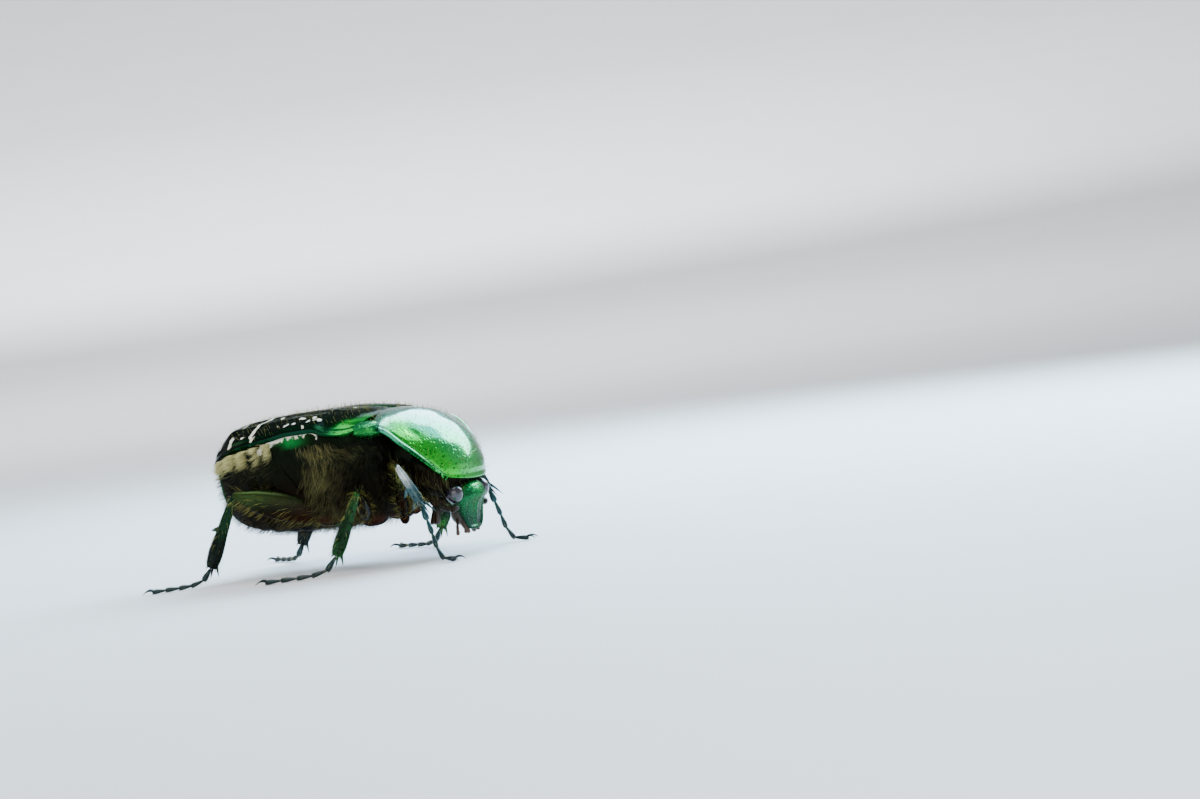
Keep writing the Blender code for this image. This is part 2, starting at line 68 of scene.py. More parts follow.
# How far all shapes move forward in the shared frame, and how thick the shell plates are.
FORWARD_SHIFT = 0.86
SHELL = 0.26
SEAM_GAP = 0.035
RIM_ROUNDING = 0.045
RIM_DROP = 0.12
RIM_CROWDING = 1.35
SIDES = (("right", -1), ("left", 1))

# Wing cases: half width, crest height and edge height at places along the body.
case_half_width = smooth([(-8.15, 0.9), (-7.7, 2.1), (-7.0, 3.0), (-6.0, 3.7), (-4.6, 4.15),
                          (-2.8, 4.35), (-1.0, 4.4), (0.4, 4.6), (1.5, 4.75), (2.5, 4.55),
                          (3.2, 3.9)])
case_crest = smooth([(-8.15, 6.75), (-7.9, 7.3), (-7.3, 8.1), (-6.4, 8.6), (-5.2, 8.88),
                     (-3.0, 9.04), (0.2, 9.08), (1.8, 8.95), (3.0, 8.72), (3.5, 8.5)])
case_edge = smooth([(-8.15, 6.6), (-7.2, 7.05), (-5.4, 7.6), (-4.0, 7.85), (-2.6, 8.05),
                    (-1.4, 8.25), (0.3, 8.3), (1.3, 7.95), (2.2, 7.8), (3.2, 8.0)])
CASE_BASE_X = 3.5
CASE_APEX_X = -8.15
CASE_FLATNESS = 2.8
SHOULDER_SETBACK = 0.45
SCUTELLUM_TIP_X = 1.0
SCUTELLUM_HALF_WIDTH = 1.1

# Pronotum: crest line and side edge as (share of its length, x, z), and half width.
PRONOTUM_CREST = [(0.0, 3.12, 8.73), (0.2, 4.5, 8.52), (0.4, 5.8, 7.95), (0.6, 6.95, 7.15),
                  (0.78, 7.7, 6.1), (0.9, 8.05, 5.1), (1.0, 8.1, 4.25)]
PRONOTUM_EDGE = [(0.0, 3.95, 7.98), (0.15, 4.85, 7.65), (0.4, 5.8, 6.75), (0.7, 6.7, 5.6),
                 (1.0, 7.35, 4.55)]
pronotum_crest_x, pronotum_crest_z = smooth(PRONOTUM_CREST), smooth(PRONOTUM_CREST, 2)
pronotum_edge_x, pronotum_edge_z = smooth(PRONOTUM_EDGE), smooth(PRONOTUM_EDGE, 2)
# Height of the pronotum's side edge at a place along the body, down to its front corner.
pronotum_edge_height = smooth([(x, z) for _, x, z in PRONOTUM_EDGE] + [(8.1, 4.1)])
pronotum_half_width = smooth([(0.0, 3.95), (0.12, 4.25), (0.3, 4.2), (0.6, 3.6), (0.85, 2.85),
                              (1.0, 2.3)])

# Trunk under the plates: belly height along the body.
belly = smooth([(-7.95, 4.1), (-7.2, 3.1), (-6.0, 2.55), (-4.0, 2.3), (-1.0, 2.2), (1.0, 2.5),
                (2.6, 2.9), (3.8, 3.5), (4.6, 4.6)])
TRUNK_REAR_X = -7.95
TRUNK_FRONT_X = 4.6
TRUNK_LENGTH = TRUNK_FRONT_X - TRUNK_REAR_X
TRUNK_MIDDLE_Z = 5.5
TRUNK_SIDE_DROP = 0.42
TRUNK_TOP_DROP = 0.8
TRUNK_INSET = 0.12
REAR_ROUNDING = 0.9
FRONT_ROUNDING = 1.6
STERNITE_EDGES = [-6.75, -5.75, -4.75, -3.8, -2.9]
LAST_STEP_X = -1.6
TAIL_SPAN = 0.185
TAIL_LIFT = 0.07
TAIL_SPOTS = ((0.75, 5.9), (1.6, 5.2))
TAIL_SPOT_SIZE = 0.16
GROOVE_POINT = Vector((-1.6, 0, 5.0))
GROOVE_NORMAL = Vector((-5.0, 0, -2.6)).normalized()

# Head, from the crown down to the front edge of the face.
HEAD_TOP = Vector((7.1, 0, 4.1))
HEAD_TIP = Vector((7.5, 0, 1.35))
head_half_width = smooth([(0.0, 1.4), (0.3, 1.5), (0.55, 1.2), (1.0, 1.1)])
head_half_depth = smooth([(0.0, 1.0), (0.3, 0.95), (0.6, 0.5), (1.0, 0.22)])
EYE_CENTRE = (7.26, -1.58, 3.52)
EYE_RADII = (0.52, 0.5, 0.55)
FEELER_ROUTE = [(7.45, -1.6, 2.75), (7.15, -2.05, 2.7), (6.6, -2.4, 3.0)]
FEELER_CLUB = [(6.5, -2.42, 3.05), (6.35, -2.6, 2.0)]
PALPS = [[(6.75, -0.75, 2.0), (6.95, -1.15, 1.75), (7.0, -1.3, 1.45), (6.95, -1.22, 1.2)],
         [(6.9, -0.3, 1.9), (7.05, -0.42, 1.6), (7.08, -0.48, 1.4), (7.05, -0.44, 1.22)]]
MESEPIMERON_CENTRE = (3.3, -3.28, 7.72)
MESEPIMERON_RADII = (1.05, 0.98, 0.52)
PROTHORAX_CENTRE = Vector((5.75, 0, 5.2))
PROTHORAX_RADII = (2.2, 3.05, 1.5)
PROTHORAX_TURN = Matrix.Rotation(math.radians(50), 3, "Y")
FORE_COXA = ((5.0, -1.1, 4.3), (4.3, -1.65, 2.75))

# Joints of each leg on the right side, from the hip to the tip of the foot.
LEGS = {
    "fore": dict(hip=(4.15, -2.0, 2.55), knee=(5.15, -3.95, 5.6), ankle=(6.45, -4.1, 3.3),
                 foot=[(6.9, -4.2, 1.9), (7.25, -4.3, 0.5), (7.6, -4.4, 0.2), (8.3, -4.55, 0.16)]),
    "middle": dict(hip=(2.1, -2.6, 2.9), knee=(3.6, -5.9, 4.5), ankle=(1.85, -6.2, 1.1),
                   foot=[(1.2, -6.5, 0.25), (0.2, -6.95, 0.17), (-0.9, -7.4, 0.17),
                         (-1.9, -7.8, 0.16)]),
    "hind": dict(hip=(-0.4, -2.6, 3.2), knee=(-5.0, -4.95, 4.95), ankle=(-7.05, -5.1, 1.05),
                 foot=[(-7.6, -5.4, 0.25), (-8.4, -5.9, 0.17), (-9.2, -6.4, 0.17),
                       (-10.0, -6.85, 0.16)]),
}
FEMUR_HALF_WIDTH = {"fore": 0.58, "middle": 0.66, "hind": 0.85}
TIBIA_HALF_WIDTH = {"fore": 0.31, "middle": 0.35, "hind": 0.38}
# Half widths along a limb as shares of its widest, and how far a shin flares at its end.
FEMUR_PROFILE = [(0, 0.7), (0.3, 1), (0.7, 0.85), (0.92, 0.55), (1, 0.5)]
TIBIA_PROFILE = [(0, 0.62), (0.12, 0.72), (0.5, 0.92)]
TIBIA_FLARE = {"fore": 1.05, "middle": 1.25, "hind": 1.25}
SEGMENT_PROFILE = [(0, 0.55), (0.25, 0.62), (0.85, 1), (1, 1)]
TIBIA_TEETH = {"fore": (0.6, 0.93), "middle": (0.55,), "hind": (0.5,)}
FOOT_SEGMENTS = 5
FOOT_RADIUS = 0.2
CLAW_LENGTH = 0.6
HORN_TIP_SHARE = 0.12
SHIN_BRISTLES = 9
FEELER_SEGMENTS = 6
HIP_SOCKETS = {"middle": (0.75, 0.95, 0.6), "hind": (1.0, 1.5, 0.62)}

# Pale chalk marks on a wing case: points as (x, share of the width) and half their thickness.
CASE_MARKS = [
    ([(-3.6, 0.4), (-3.85, 0.55), (-4.03, 0.68)], 0.1),
    ([(-4.03, 0.68), (-4.06, 0.8), (-3.9, 0.97)], 0.13),
    ([(-2.34, 0.83)], 0.08), ([(-1.65, 0.84)], 0.15), ([(-1.23, 0.82)], 0.12),
    ([(-0.95, 0.7), (-0.75, 0.72)], 0.1), ([(-0.3, 0.84), (-0.18, 0.8)], 0.1),
    ([(-0.07, 0.69), (0.05, 0.73)], 0.11), ([(0.2, 0.79), (0.45, 0.77), (0.58, 0.8)], 0.1),
    ([(1.44, 0.2)], 0.12), ([(-0.5, 0.93), (-0.3, 0.95)], 0.08),
    ([(-2.55, 0.09), (-2.65, 0.16)], 0.08), ([(-2.58, 0.21), (-2.45, 0.3)], 0.08),
    ([(-4.4, 0.08), (-4.5, 0.2)], 0.09), ([(-5.35, 0.32), (-5.25, 0.4)], 0.08),
    ([(-5.28, 0.46), (-5.42, 0.55)], 0.09), ([(-5.7, 0.8), (-5.6, 0.92)], 0.11),
    ([(-6.4, 0.12), (-6.45, 0.26)], 0.08), ([(-6.9, 0.74), (-6.75, 0.88)], 0.09),
    ([(-2.7, 0.5), (-2.62, 0.56)], 0.08), ([(-1.75, 0.53)], 0.08), ([(-4.75, 0.88)], 0.1),
    ([(0.5, 0.45)], 0.06), ([(-1.1, 0.33)], 0.06), ([(-6.1, 0.45)], 0.07),
]
# The pale band on the side of the body under the wing case edge, as (x, z), and its lobe.
BAND_MARKS = [
    ([(0.52, 7.88), (0.15, 8.03), (-0.68, 8.03), (-1.7, 7.9), (-2.74, 7.68), (-3.24, 7.39),
      (-3.45, 7.05)], 0.14),
    ([(-0.8, 7.95), (-0.72, 7.72)], 0.13),
]

CHALK_WHITE = (0.68, 0.63, 0.49)
EYE_TINTS = ((0.004, 0.0035, 0.006), (0.02, 0.017, 0.028))
FLOOR_TINTS = ((0.74, 0.75, 0.76), (0.8, 0.81, 0.81))
# Dark and pale end of each hair.
HAIR_TINTS = {"olive_pile": ((0.004, 0.003, 0.0015), (0.38, 0.35, 0.12)),
              "straw_hair": ((0.13, 0.12, 0.025), (0.52, 0.5, 0.13)),
              "cream_hair": ((0.03, 0.022, 0.008), (0.95, 0.88, 0.38))}
# How much rougher a pit is, how high the grain between pits stands, and how ragged chalk is.
PIT_ROUGHNESS = 0.15
GRAIN = 0.15
RAGGEDNESS = 1.35
# Share of its clear coat that a cuticle loses where it is vivid.
PATCH_COAT_LOSS = 0.9

# Cuticles: tints at the foot, the middle and the top of a range of heights, then what differs
# from the usual cuticle.
CUTICLES = {
    # The pronotum's teal towards the top is partly a painted sky reflection, and its vivid sides
    # partly a painted green reflection, over its own green.
    "pronotum_green": dict(
        tints=((0.01, 0.29, 0.03), (0.01, 0.27, 0.1), (0.01, 0.2, 0.11)), heights=(4.6, 9.0),
        pits=4400.0, pit_size=0.44, clouds=0.35, roughness=0.17, depth=0.016, coat=0.7,
        pit_shade=0.04, vivid=(0.012, 0.38, 0.022), edge=(0.15, 0.4, 0.45)),
    "head_green": dict(
        tints=((0.004, 0.04, 0.018), (0.008, 0.11, 0.03), (0.018, 0.28, 0.08)), heights=(1.5, 5.0),
        pits=6500.0, pit_size=0.55, clouds=0.8, depth=0.02, edge=(0.1, 0.3, 0.25)),
    "shoulder_green": dict(
        tints=((0.006, 0.1, 0.016), (0.012, 0.2, 0.03), (0.01, 0.22, 0.08)), heights=(7.2, 8.3),
        pits=5500.0, pit_size=0.55, roughness=0.22, depth=0.02, edge=(0.1, 0.35, 0.3)),
    "scutellum_green": dict(
        tints=((0.004, 0.05, 0.02), (0.004, 0.06, 0.025), (0.004, 0.05, 0.03)), heights=(8.0, 9.0),
        pits=3500.0, pit_size=0.3, edge=(0.05, 0.2, 0.15)),
    # The wing cases' near-black tints are partly a painted dark reflection over their green, and
    # the vivid shoulder and base are a painted green sheen.
    "wing_case_dark_green": dict(
        tints=((0.003, 0.035, 0.014), (0.003, 0.03, 0.014), (0.005, 0.055, 0.022)),
        heights=(7.4, 8.9), pits=3800.0, pit_size=0.34, clouds=0.7, metallic=0.95, roughness=0.2,
        coat=0.05, chalk=True, vivid=(0.012, 0.18, 0.025), edge=(0.02, 0.07, 0.045), gloss=0.2),
    "tail_green": dict(
        tints=((0.004, 0.04, 0.012), (0.006, 0.07, 0.02), (0.004, 0.05, 0.02)), heights=(3.6, 7.0),
        pits=5200.0, depth=0.02, chalk=True, edge=(0.05, 0.2, 0.15)),
    # The side and belly tints are partly painted shade: kept far darker than the cuticle's own
    # tone, so the underside reads as lying in shade.
    "side_cuticle": dict(
        tints=((0.012, 0.006, 0.003), (0.005, 0.004, 0.002), (0.004, 0.007, 0.003)),
        heights=(2.4, 7.75), pits=5000.0, pit_size=0.45, roughness=0.38, coat=0.02, chalk=True,
        vivid=(0.01, 0.17, 0.03), edge=(0.05, 0.05, 0.035), gloss=0.2),
    "coppery_belly": dict(
        tints=((0.05, 0.016, 0.01), (0.035, 0.014, 0.008), (0.01, 0.02, 0.008)),
        heights=(2.0, 4.2), pits=4200.0, pit_size=0.35, roughness=0.42, coat=0.02,
        edge=(0.06, 0.04, 0.03), gloss=0.25),
    # The thighs' olive-green top tint is partly a painted highlight over their dark brown.
    "thigh_green": dict(
        tints=((0.02, 0.006, 0.003), (0.009, 0.008, 0.004), (0.022, 0.042, 0.011)),
        heights=(2.6, 5.4), pits=4800.0, pit_size=0.4, clouds=0.9, roughness=0.3, coat=0.04,
        edge=(0.05, 0.08, 0.03), gloss=0.25),
    "hind_shin_dark": dict(
        tints=((0.002, 0.004, 0.003), (0.003, 0.009, 0.005), (0.005, 0.04, 0.012)),
        heights=(-0.5, 6.0), pits=5000.0, clouds=1.6, roughness=0.22, depth=0.045, pit_shade=0.2,
        edge=(0.1, 0.2, 0.14)),
    # The middle shin's bright green clouds are painted glints over its dark green.
    "shin_green_painted_glints": dict(
        tints=((0.002, 0.006, 0.004), (0.012, 0.055, 0.012), (0.06, 0.3, 0.04)),
        heights=(-1.0, 6.6), pits=5000.0, clouds=3.0, metallic=0.9, roughness=0.2, depth=0.07,
        pit_shade=0.2, edge=(0.1, 0.25, 0.18)),
    # The fore shin's pale blue-white top tint is a painted sky highlight over its dark blue-green.
    "fore_shin_painted_sky_highlight": dict(
        tints=((0.006, 0.03, 0.035), (0.05, 0.12, 0.14), (0.78, 0.9, 0.95)), heights=(2.9, 5.6),
        pits=4600.0, pit_size=0.4, clouds=1.0, roughness=0.2, coat=0.5, pit_shade=0.2),
    "foot_dark": dict(
        tints=((0.006, 0.014, 0.014), (0.006, 0.025, 0.025), (0.008, 0.04, 0.045)),
        heights=(0.0, 2.5), pits=9000.0, pit_size=0.3, metallic=0.6, roughness=0.3, depth=0.006,
        coat=0.35),
    "feeler_brown": dict(
        tints=((0.03, 0.012, 0.006), (0.02, 0.012, 0.007), (0.012, 0.015, 0.01)),
        heights=(1.8, 3.2), pits=12000.0, pit_size=0.3, metallic=0.2, roughness=0.4, depth=0.004,
        coat=0.08, edge=(0.1, 0.08, 0.06)),
    "mouth_brown": dict(
        tints=((0.08, 0.03, 0.012), (0.04, 0.018, 0.01), (0.02, 0.012, 0.008)), heights=(1.0, 3.0),
        pits=9000.0, pit_size=0.3, metallic=0.1, roughness=0.42, depth=0.004, coat=0.35),
}
SHIN_LOOKS = {"fore": "fore_shin_painted_sky_highlight", "middle": "shin_green_painted_glints", "hind": "hind_shin_dark"}


def ramp(value, start, end):
    """Rises smoothly from 0 at start to 1 at end."""
    share = clamped((value - start) / (end - start))
    return share * share * (3 - 2 * share)


def hump(value, centre, width):
    return math.exp(-((value - centre) / width) ** 2)


def signed_power(value, power):
    return math.copysign(abs(value) ** power, value)


def mirrored(point, side):
    return Vector((point[0], -side * point[1], point[2]))


def toward(start, end, distance):
    return start + (end - start).normalized() * distance


def spot_strength(gap, size):
    return 1 - 0.5 * gap / size


def mark_strength(point, flat, routes):
    """How strongly a place is marked: 1 on a route, less beside it, with a wavering outline."""
    waver = noise.noise_vector(point * 2.2) * 0.14
    thin = 1 + 0.55 * noise.noise(point * 2.6)
    place = (flat[0] + waver.x, flat[1] + waver.y)
    strength = 0.0
    for route, thickness in routes:
        gap = distance_to_route(place, route) * thin
        strength = max(strength, spot_strength(gap, thickness))
    return strength


def distance_to_route(place, route):
    """Distance in a plane from a place to the nearest point of a route."""
    place = Vector(place)
    nearest = min((place - Vector(p)).length for p in route)
    for a, b in zip(route, route[1:]):
        a, b = Vector(a), Vector(b)
        share = clamped((place - a).dot(b - a) / (b - a).length_squared)
        nearest = min(nearest, (place - a.lerp(b, share)).length)
    return nearest


# Shapes of the shell plates

def scutellum_half_width(x):
    share = clamped((x - SCUTELLUM_TIP_X) / (CASE_BASE_X - SCUTELLUM_TIP_X))
    return SCUTELLUM_HALF_WIDTH * share ** 0.8


def case_point(u, v, side):
    """A point of one wing case: u from base to tip, v from the seam to the outer edge."""
    base = CASE_BASE_X - SHOULDER_SETBACK * v * v
    x = base + (CASE_APEX_X - base) * (1 - (1 - u) ** 1.2)
    inner = SEAM_GAP / 2
    if x > SCUTELLUM_TIP_X:
        inner += scutellum_half_width(x)
    y = inner + v * (case_half_width(x) - inner)
    z = case_crest(x) - (case_crest(x) - case_edge(x)) * v ** CASE_FLATNESS
    z -= RIM_DROP * ramp(v, 0.94, 1.0)
    return Vector((x, side * y, z))


def case_relief(point, v):
    """How far a wing case stands above or below its plain dome."""
    x = point.x
    rear = ramp(x, 0.6, -2.2) * ramp(x, -7.7, -6.2)
    hollow = -0.15 * hump(v, 0.19, 0.13) * rear
    inner_rib = 0.035 * hump(v, 0.4, 0.045) * ramp(x, 2.0, 0.5) * ramp(x, -6.9, -5.9)
    outer_rib = 0.03 * hump(v, 0.64, 0.05) * ramp(x, 1.5, 0.0) * ramp(x, -6.5, -5.5)
    shoulder = 0.1 * hump(x, 2.05, 0.55) * hump(v, 0.82, 0.12)
    heel = 0.12 * hump(x, -6.1, 0.45) * hump(v, 0.62, 0.13)
    rim = -0.05 * hump(v, 0.955, 0.02) + 0.02 * hump(v, 1.0, 0.02)
    ripple = 0.012 * noise.noise(point * 1.4)
    return hollow + inner_rib + outer_rib + shoulder + heel + rim + ripple


def pronotum_point(u, v):
    """A point of the pronotum: u from base to front, v from -1 to 1 across."""
    crest = Vector((pronotum_crest_x(u), 0, pronotum_crest_z(u)))
    edge = Vector((pronotum_edge_x(u), 0, pronotum_edge_z(u)))
    point = crest + (edge - crest) * abs(v) ** 2.2
    point.x += 0.16 * hump(v, 0, 0.17) * ramp(u, 0.2, 0.0)
    point.y = v * pronotum_half_width(u)
    return point


def pronotum_relief(point, u, v):
    across = abs(v)
    side_bead = -0.06 * hump(across, 0.955, 0.018) + 0.025 * hump(across, 0.99, 0.015)
    base_lip = -0.02 * hump(u, 0.03, 0.015) - 0.1 * ramp(u, 0.02, 0.0)
    collar = -0.035 * hump(u, 0.965, 0.015)
    dimple = -0.05 * hump(across, 0.72, 0.07) * hump(u, 0.42, 0.07)
    return side_bead + base_lip + collar + dimple + 0.012 * noise.noise(point * 1.3)


def scutellum_point(u, v):
    x = CASE_BASE_X + 0.25 + (SCUTELLUM_TIP_X + 0.05 - CASE_BASE_X - 0.25) * u
    width = scutellum_half_width(x)
    across = 2 * v - 1
    return Vector((x, across * width, case_crest(min(x, CASE_BASE_X)) - 0.02 - 0.09 * across ** 2))


def trunk_point(t, angle):
    """A point of the trunk: t from the tail to the front, angle round the body."""
    x = TRUNK_REAR_X + TRUNK_LENGTH * (1 - math.cos(math.pi * t)) / 2
    ends = min(1.0, (x - TRUNK_REAR_X) / REAR_ROUNDING, (TRUNK_FRONT_X - x) / FRONT_ROUNDING)
    ends = math.sqrt(max(0.0, ends * (2 - ends)))
    half_width = (case_half_width(x) - TRUNK_INSET) * ends
    side_height = case_edge(x) - TRUNK_SIDE_DROP
    top = case_crest(x) - TRUNK_TOP_DROP
    across, up = math.cos(angle), math.sin(angle)
    if up >= 0:
        y = half_width * signed_power(across, 0.2)
        z = side_height + (top - side_height) * ends * up ** 1.1
    else:
        y = half_width * signed_power(across, 0.8)
        z = side_height - (side_height - belly(x)) * ends * (-up) ** 0.9
    point = Vector((x, y, z))
    outward = Vector((0, y, z - side_height - 1.0))
    if up < 0.3 and outward.length > 0.01:
        point += outward.normalized() * (trunk_relief(point) * ends)
    return point


def trunk_relief(point):
    """Steps of the belly plates and the slanting groove behind the hind hips."""
    off_groove = (point - GROOVE_POINT).dot(GROOVE_NORMAL)
    relief = -0.16 * hump(off_groove, 0, 0.09) - 0.08 * hump(off_groove, -1.15, 0.06)
    if off_groove > 0:
        edges = [TRUNK_REAR_X] + STERNITE_EDGES + [LAST_STEP_X]
        i = min(max(bisect.bisect_right(edges, point.x) - 1, 0), len(edges) - 2)
        share = (edges[i + 1] - point.x) / (edges[i + 1] - edges[i])
        relief += 0.1 * max(share, 0.0) ** 1.5 - 0.04
    midline = hump(point.y, 0, 0.12) * ramp(point.x, -1.2, -0.4)
    return relief - 0.06 * midline + 0.02 * noise.noise(point * 1.2)


def ellipsoid_point(t, angle, radii, power=1.0):
    """A point of an ellipsoid round the origin, which a power below 1 makes boxier."""
    ring = math.sin(math.pi * t) ** power
    return Vector((radii[0] * signed_power(math.cos(math.pi * t), power),
                   radii[1] * ring * signed_power(math.cos(angle), power),
                   radii[2] * ring * signed_power(math.sin(angle), power)))


def prothorax_point(t, angle):
    return PROTHORAX_CENTRE + PROTHORAX_TURN @ ellipsoid_point(t, angle, PROTHORAX_RADII)


# Mesh builders

def grid_onto(shape, columns, rows, place):
    """Adds a grid whose points go where place(u, v) says; returns its points with u and v."""
    made = bmesh.ops.create_grid(shape, x_segments=columns, y_segments=rows, size=0.5)
    spots = [(vertex, vertex.co.x + 0.5, vertex.co.y + 0.5) for vertex in made["verts"]]
    for vertex, u, v in spots:
        vertex.co = place(u, v)
    shape.normal_update()
    if sum(face.normal.z * face.calc_area() for face in shape.faces) < 0:
        bmesh.ops.reverse_faces(shape, faces=shape.faces)
        shape.normal_update()
    return spots


def ball_onto(shape, around, along, place):
    """Adds a closed ball whose points go where place(t, angle) says."""
    made = bmesh.ops.create_uvsphere(shape, u_segments=around, v_segments=along, radius=1)
    for vertex in made["verts"]:
        t = math.acos(max(-1.0, min(1.0, vertex.co.z))) / math.pi
        vertex.co = place(t, math.atan2(vertex.co.y, vertex.co.x))
    faces = dict.fromkeys(face for vertex in made["verts"] for face in vertex.link_faces)
    bmesh.ops.recalc_face_normals(shape, faces=list(faces))


def ellipsoid_onto(shape, centre, radii, around=32, along=20, power=1.0):
    ball_onto(shape, around, along,
              lambda t, angle: Vector(centre) + ellipsoid_point(t, angle, radii, power))


def limb_onto(shape, start, end, profile, flatten=1.0, side=(0, 0, 1), around=20, along=24,
              bow=(0, 0, 0), blunt=0.5, ridges=0.0):
    """Adds a limb from start to end; profile(s) is its half width, flatten its depth over it."""
    start, end, bow = Vector(start), Vector(end), Vector(bow)
    axis = (end - start).normalized()
    wide = Vector(side) - axis * Vector(side).dot(axis)
    wide.normalize()
    deep = axis.cross(wide)

    def place(t, angle):
        s = (1 - math.cos(math.pi * t)) / 2
        radius = profile(s) * math.sin(math.pi * t) ** blunt
        radius *= 1 + ridges * math.cos(6 * angle)
        return (start + (end - start) * s + bow * (4 * s * (1 - s))
                + wide * (radius * math.cos(angle)) + deep * (radius * flatten * math.sin(angle)))

    ball_onto(shape, around, along, place)
    return place


def horn_onto(shape, start, end, radius, bow=(0, 0, 0)):
    """Adds a curved horn that tapers to a blunt tip, for claws, spurs and teeth."""
    limb_onto(shape, start, end, lambda s: radius * (1 - (1 - HORN_TIP_SHARE) * s),
              around=10, along=12, bow=bow, blunt=0.35)


def put(name, data):
    """Puts a new object with this data in the scene."""
    made = bpy.data.objects.new(name, data)
    bpy.context.scene.collection.objects.link(made)
    return made


def finished(name, shape, finish, nodes=(), wall=0.0):
    """Turns a shape in millimetres into a finished piece of the beetle."""
    data = bpy.data.meshes.new(name)
    shape.to_mesh(data)
    shape.free()
    data.transform(Matrix.Scale(MILLIMETRE, 4) @ Matrix.Translation((FORWARD_SHIFT, 0, 0)))
    data.shade_smooth()
    data.materials.append(FINISH[finish])
    piece = put(name, data)
    if wall:
        plate = piece.modifiers.new("wall", "SOLIDIFY")
        plate.thickness = wall * MILLIMETRE
        plate.offset = -1
        plate.use_even_offset = True
        rounding = piece.modifiers.new("rim", "BEVEL")
        rounding.width = RIM_ROUNDING * MILLIMETRE
        rounding.segments = 3
        rounding.limit_method = "ANGLE"
        rounding.angle_limit = math.radians(50)
    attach(piece, "root")
    for node in nodes:
        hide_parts(node)


def shift_outward(shape, moves):
    """Moves points along their normals by the given distances, all at once."""
    shape.normal_update()
    steps = [(vertex, vertex.normal * distance) for vertex, distance in moves]
    for vertex, step in steps:
        vertex.co += step


# Materials

FLOAT, COLOUR = "NodeSocketFloat", "NodeSocketColor"


def feed(tree, socket, value):
    """Links a socket to another socket, or sets it to a number or a colour."""
    if isinstance(value, bpy.types.NodeSocket):
        tree.links.new(value, socket)
    else:
        socket.default_value = (*value, 1.0) if isinstance(value, tuple) else value


def add(tree, kind, **settings):
    """Adds a node; each setting goes to the input of that name, or else to the node itself."""
    node = tree.nodes.new(kind)
    for key, value in settings.items():
        label = key.replace("_", " ")
        if label in node.inputs:
            feed(tree, node.inputs[label], value)
        else:
            setattr(node, key, value)
    return node


def object_place(tree):
    return tree.nodes.new("ShaderNodeTexCoord").outputs["Object"]


def noise_texture(tree, scale, detail, **settings):
    node = add(tree, "ShaderNodeTexNoise", Vector=object_place(tree), Scale=scale, Detail=detail,
               **settings)
    return node.outputs["Fac"]


def cell_texture(tree, scale, randomness):
    node = add(tree, "ShaderNodeTexVoronoi", Vector=object_place(tree), Scale=scale,
               Randomness=randomness)
    return node.outputs["Distance"]


def attribute(tree, name):
    return add(tree, "ShaderNodeAttribute", attribute_name=name).outputs["Fac"]


def math_node(tree, operation, *values, clamp=False):
    node = add(tree, "ShaderNodeMath", operation=operation, use_clamp=clamp)
    for socket, value in zip(node.inputs, values):
        feed(tree, socket, value)
    return node.outputs[0]


def mix_colour(tree, share, first, second, blend="MIX"):
    node = add(tree, "ShaderNodeMix", data_type="RGBA", blend_type=blend, Factor=share)
    for socket, value in zip([s for s in node.inputs if s.type == "RGBA"], (first, second)):
        feed(tree, socket, value)
    return next(s for s in node.outputs if s.type == "RGBA")


def map_range(tree, value, low, high, to_low=0.0, to_high=1.0):
    node = add(tree, "ShaderNodeMapRange", interpolation_type="SMOOTHSTEP", Value=value,
               From_Min=low, From_Max=high, To_Min=to_low, To_Max=to_high)
    return node.outputs["Result"]


def bumped(tree, height, strength, depth, invert=False):
    node = add(tree, "ShaderNodeBump", Height=height, Strength=strength,
               Distance=depth * MILLIMETRE, invert=invert)
    return node.outputs["Normal"]


def new_material(name):
    """A new material, its node tree and a function that sets sockets of its shader by name."""
    made = bpy.data.materials.new(name)
    made.use_nodes = True
    tree = made.node_tree

    def shade(**values):
        for key, value in values.items():
            feed(tree, tree.nodes["Principled BSDF"].inputs[key.replace("_", " ")], value)

    return made, tree, shade


def new_group(name, inputs, outputs):
    group = bpy.data.node_groups.new(name, "ShaderNodeTree")
    for label, value in inputs.items():
        kind = FLOAT if isinstance(value, float) else COLOUR
        socket = group.interface.new_socket(label, in_out="INPUT", socket_type=kind)
        socket.default_value = value
    for label, kind in outputs.items():
        group.interface.new_socket(label, in_out="OUTPUT", socket_type=kind)
    enter = group.nodes.new("NodeGroupInput")
    leave = group.nodes.new("NodeGroupOutput")
    return group, enter.outputs, leave.inputs


def build_pits_group():
    """Round pits pressed into a cuticle, with a fine grain between them."""
    group, given, out = new_group(
        "cuticle_pits", {"Pits per metre": 4500.0, "Pit size": 0.35},
        {"Height": FLOAT, "Pits": FLOAT})
    cells = cell_texture(group, given["Pits per metre"], 0.85)
    pits = map_range(group, cells, 0.0, given["Pit size"], 1.0, 0.0)
    bumps = math_node(group, "MULTIPLY", noise_texture(group, 14000.0, 3.0), GRAIN)
    feed(group, out["Height"], math_node(group, "SUBTRACT", bumps, pits))
    feed(group, out["Pits"], pits)
    return group


def build_shimmer_group():
    """A metallic colour that drifts from one tint to another with height and in clouds."""
    black = (0, 0, 0, 1)
    group, given, out = new_group(
        "metal_shimmer",
        {"Low colour": black, "Middle colour": black, "High colour": black, "Low height": 0.0,
         "High height": 0.009, "Clouds": 0.3}, {"Colour": COLOUR})
    split = add(group, "ShaderNodeSeparateXYZ", Vector=object_place(group))
    height = map_range(group, split.outputs["Z"], given["Low height"], given["High height"])
    clouds = noise_texture(group, 420.0, 4.0, Roughness=0.6)
    drift = math_node(group, "SUBTRACT", clouds, 0.5)
    drift = math_node(group, "MULTIPLY_ADD", drift, given["Clouds"], height, clamp=True)
    lower = math_node(group, "MULTIPLY", drift, 2.0, clamp=True)
    upper = math_node(group, "MULTIPLY_ADD", drift, 2.0, -1.0, clamp=True)
    colour = mix_colour(group, lower, given["Low colour"], given["Middle colour"])
    feed(group, out["Colour"], mix_colour(group, upper, colour, given["High colour"]))
    return group


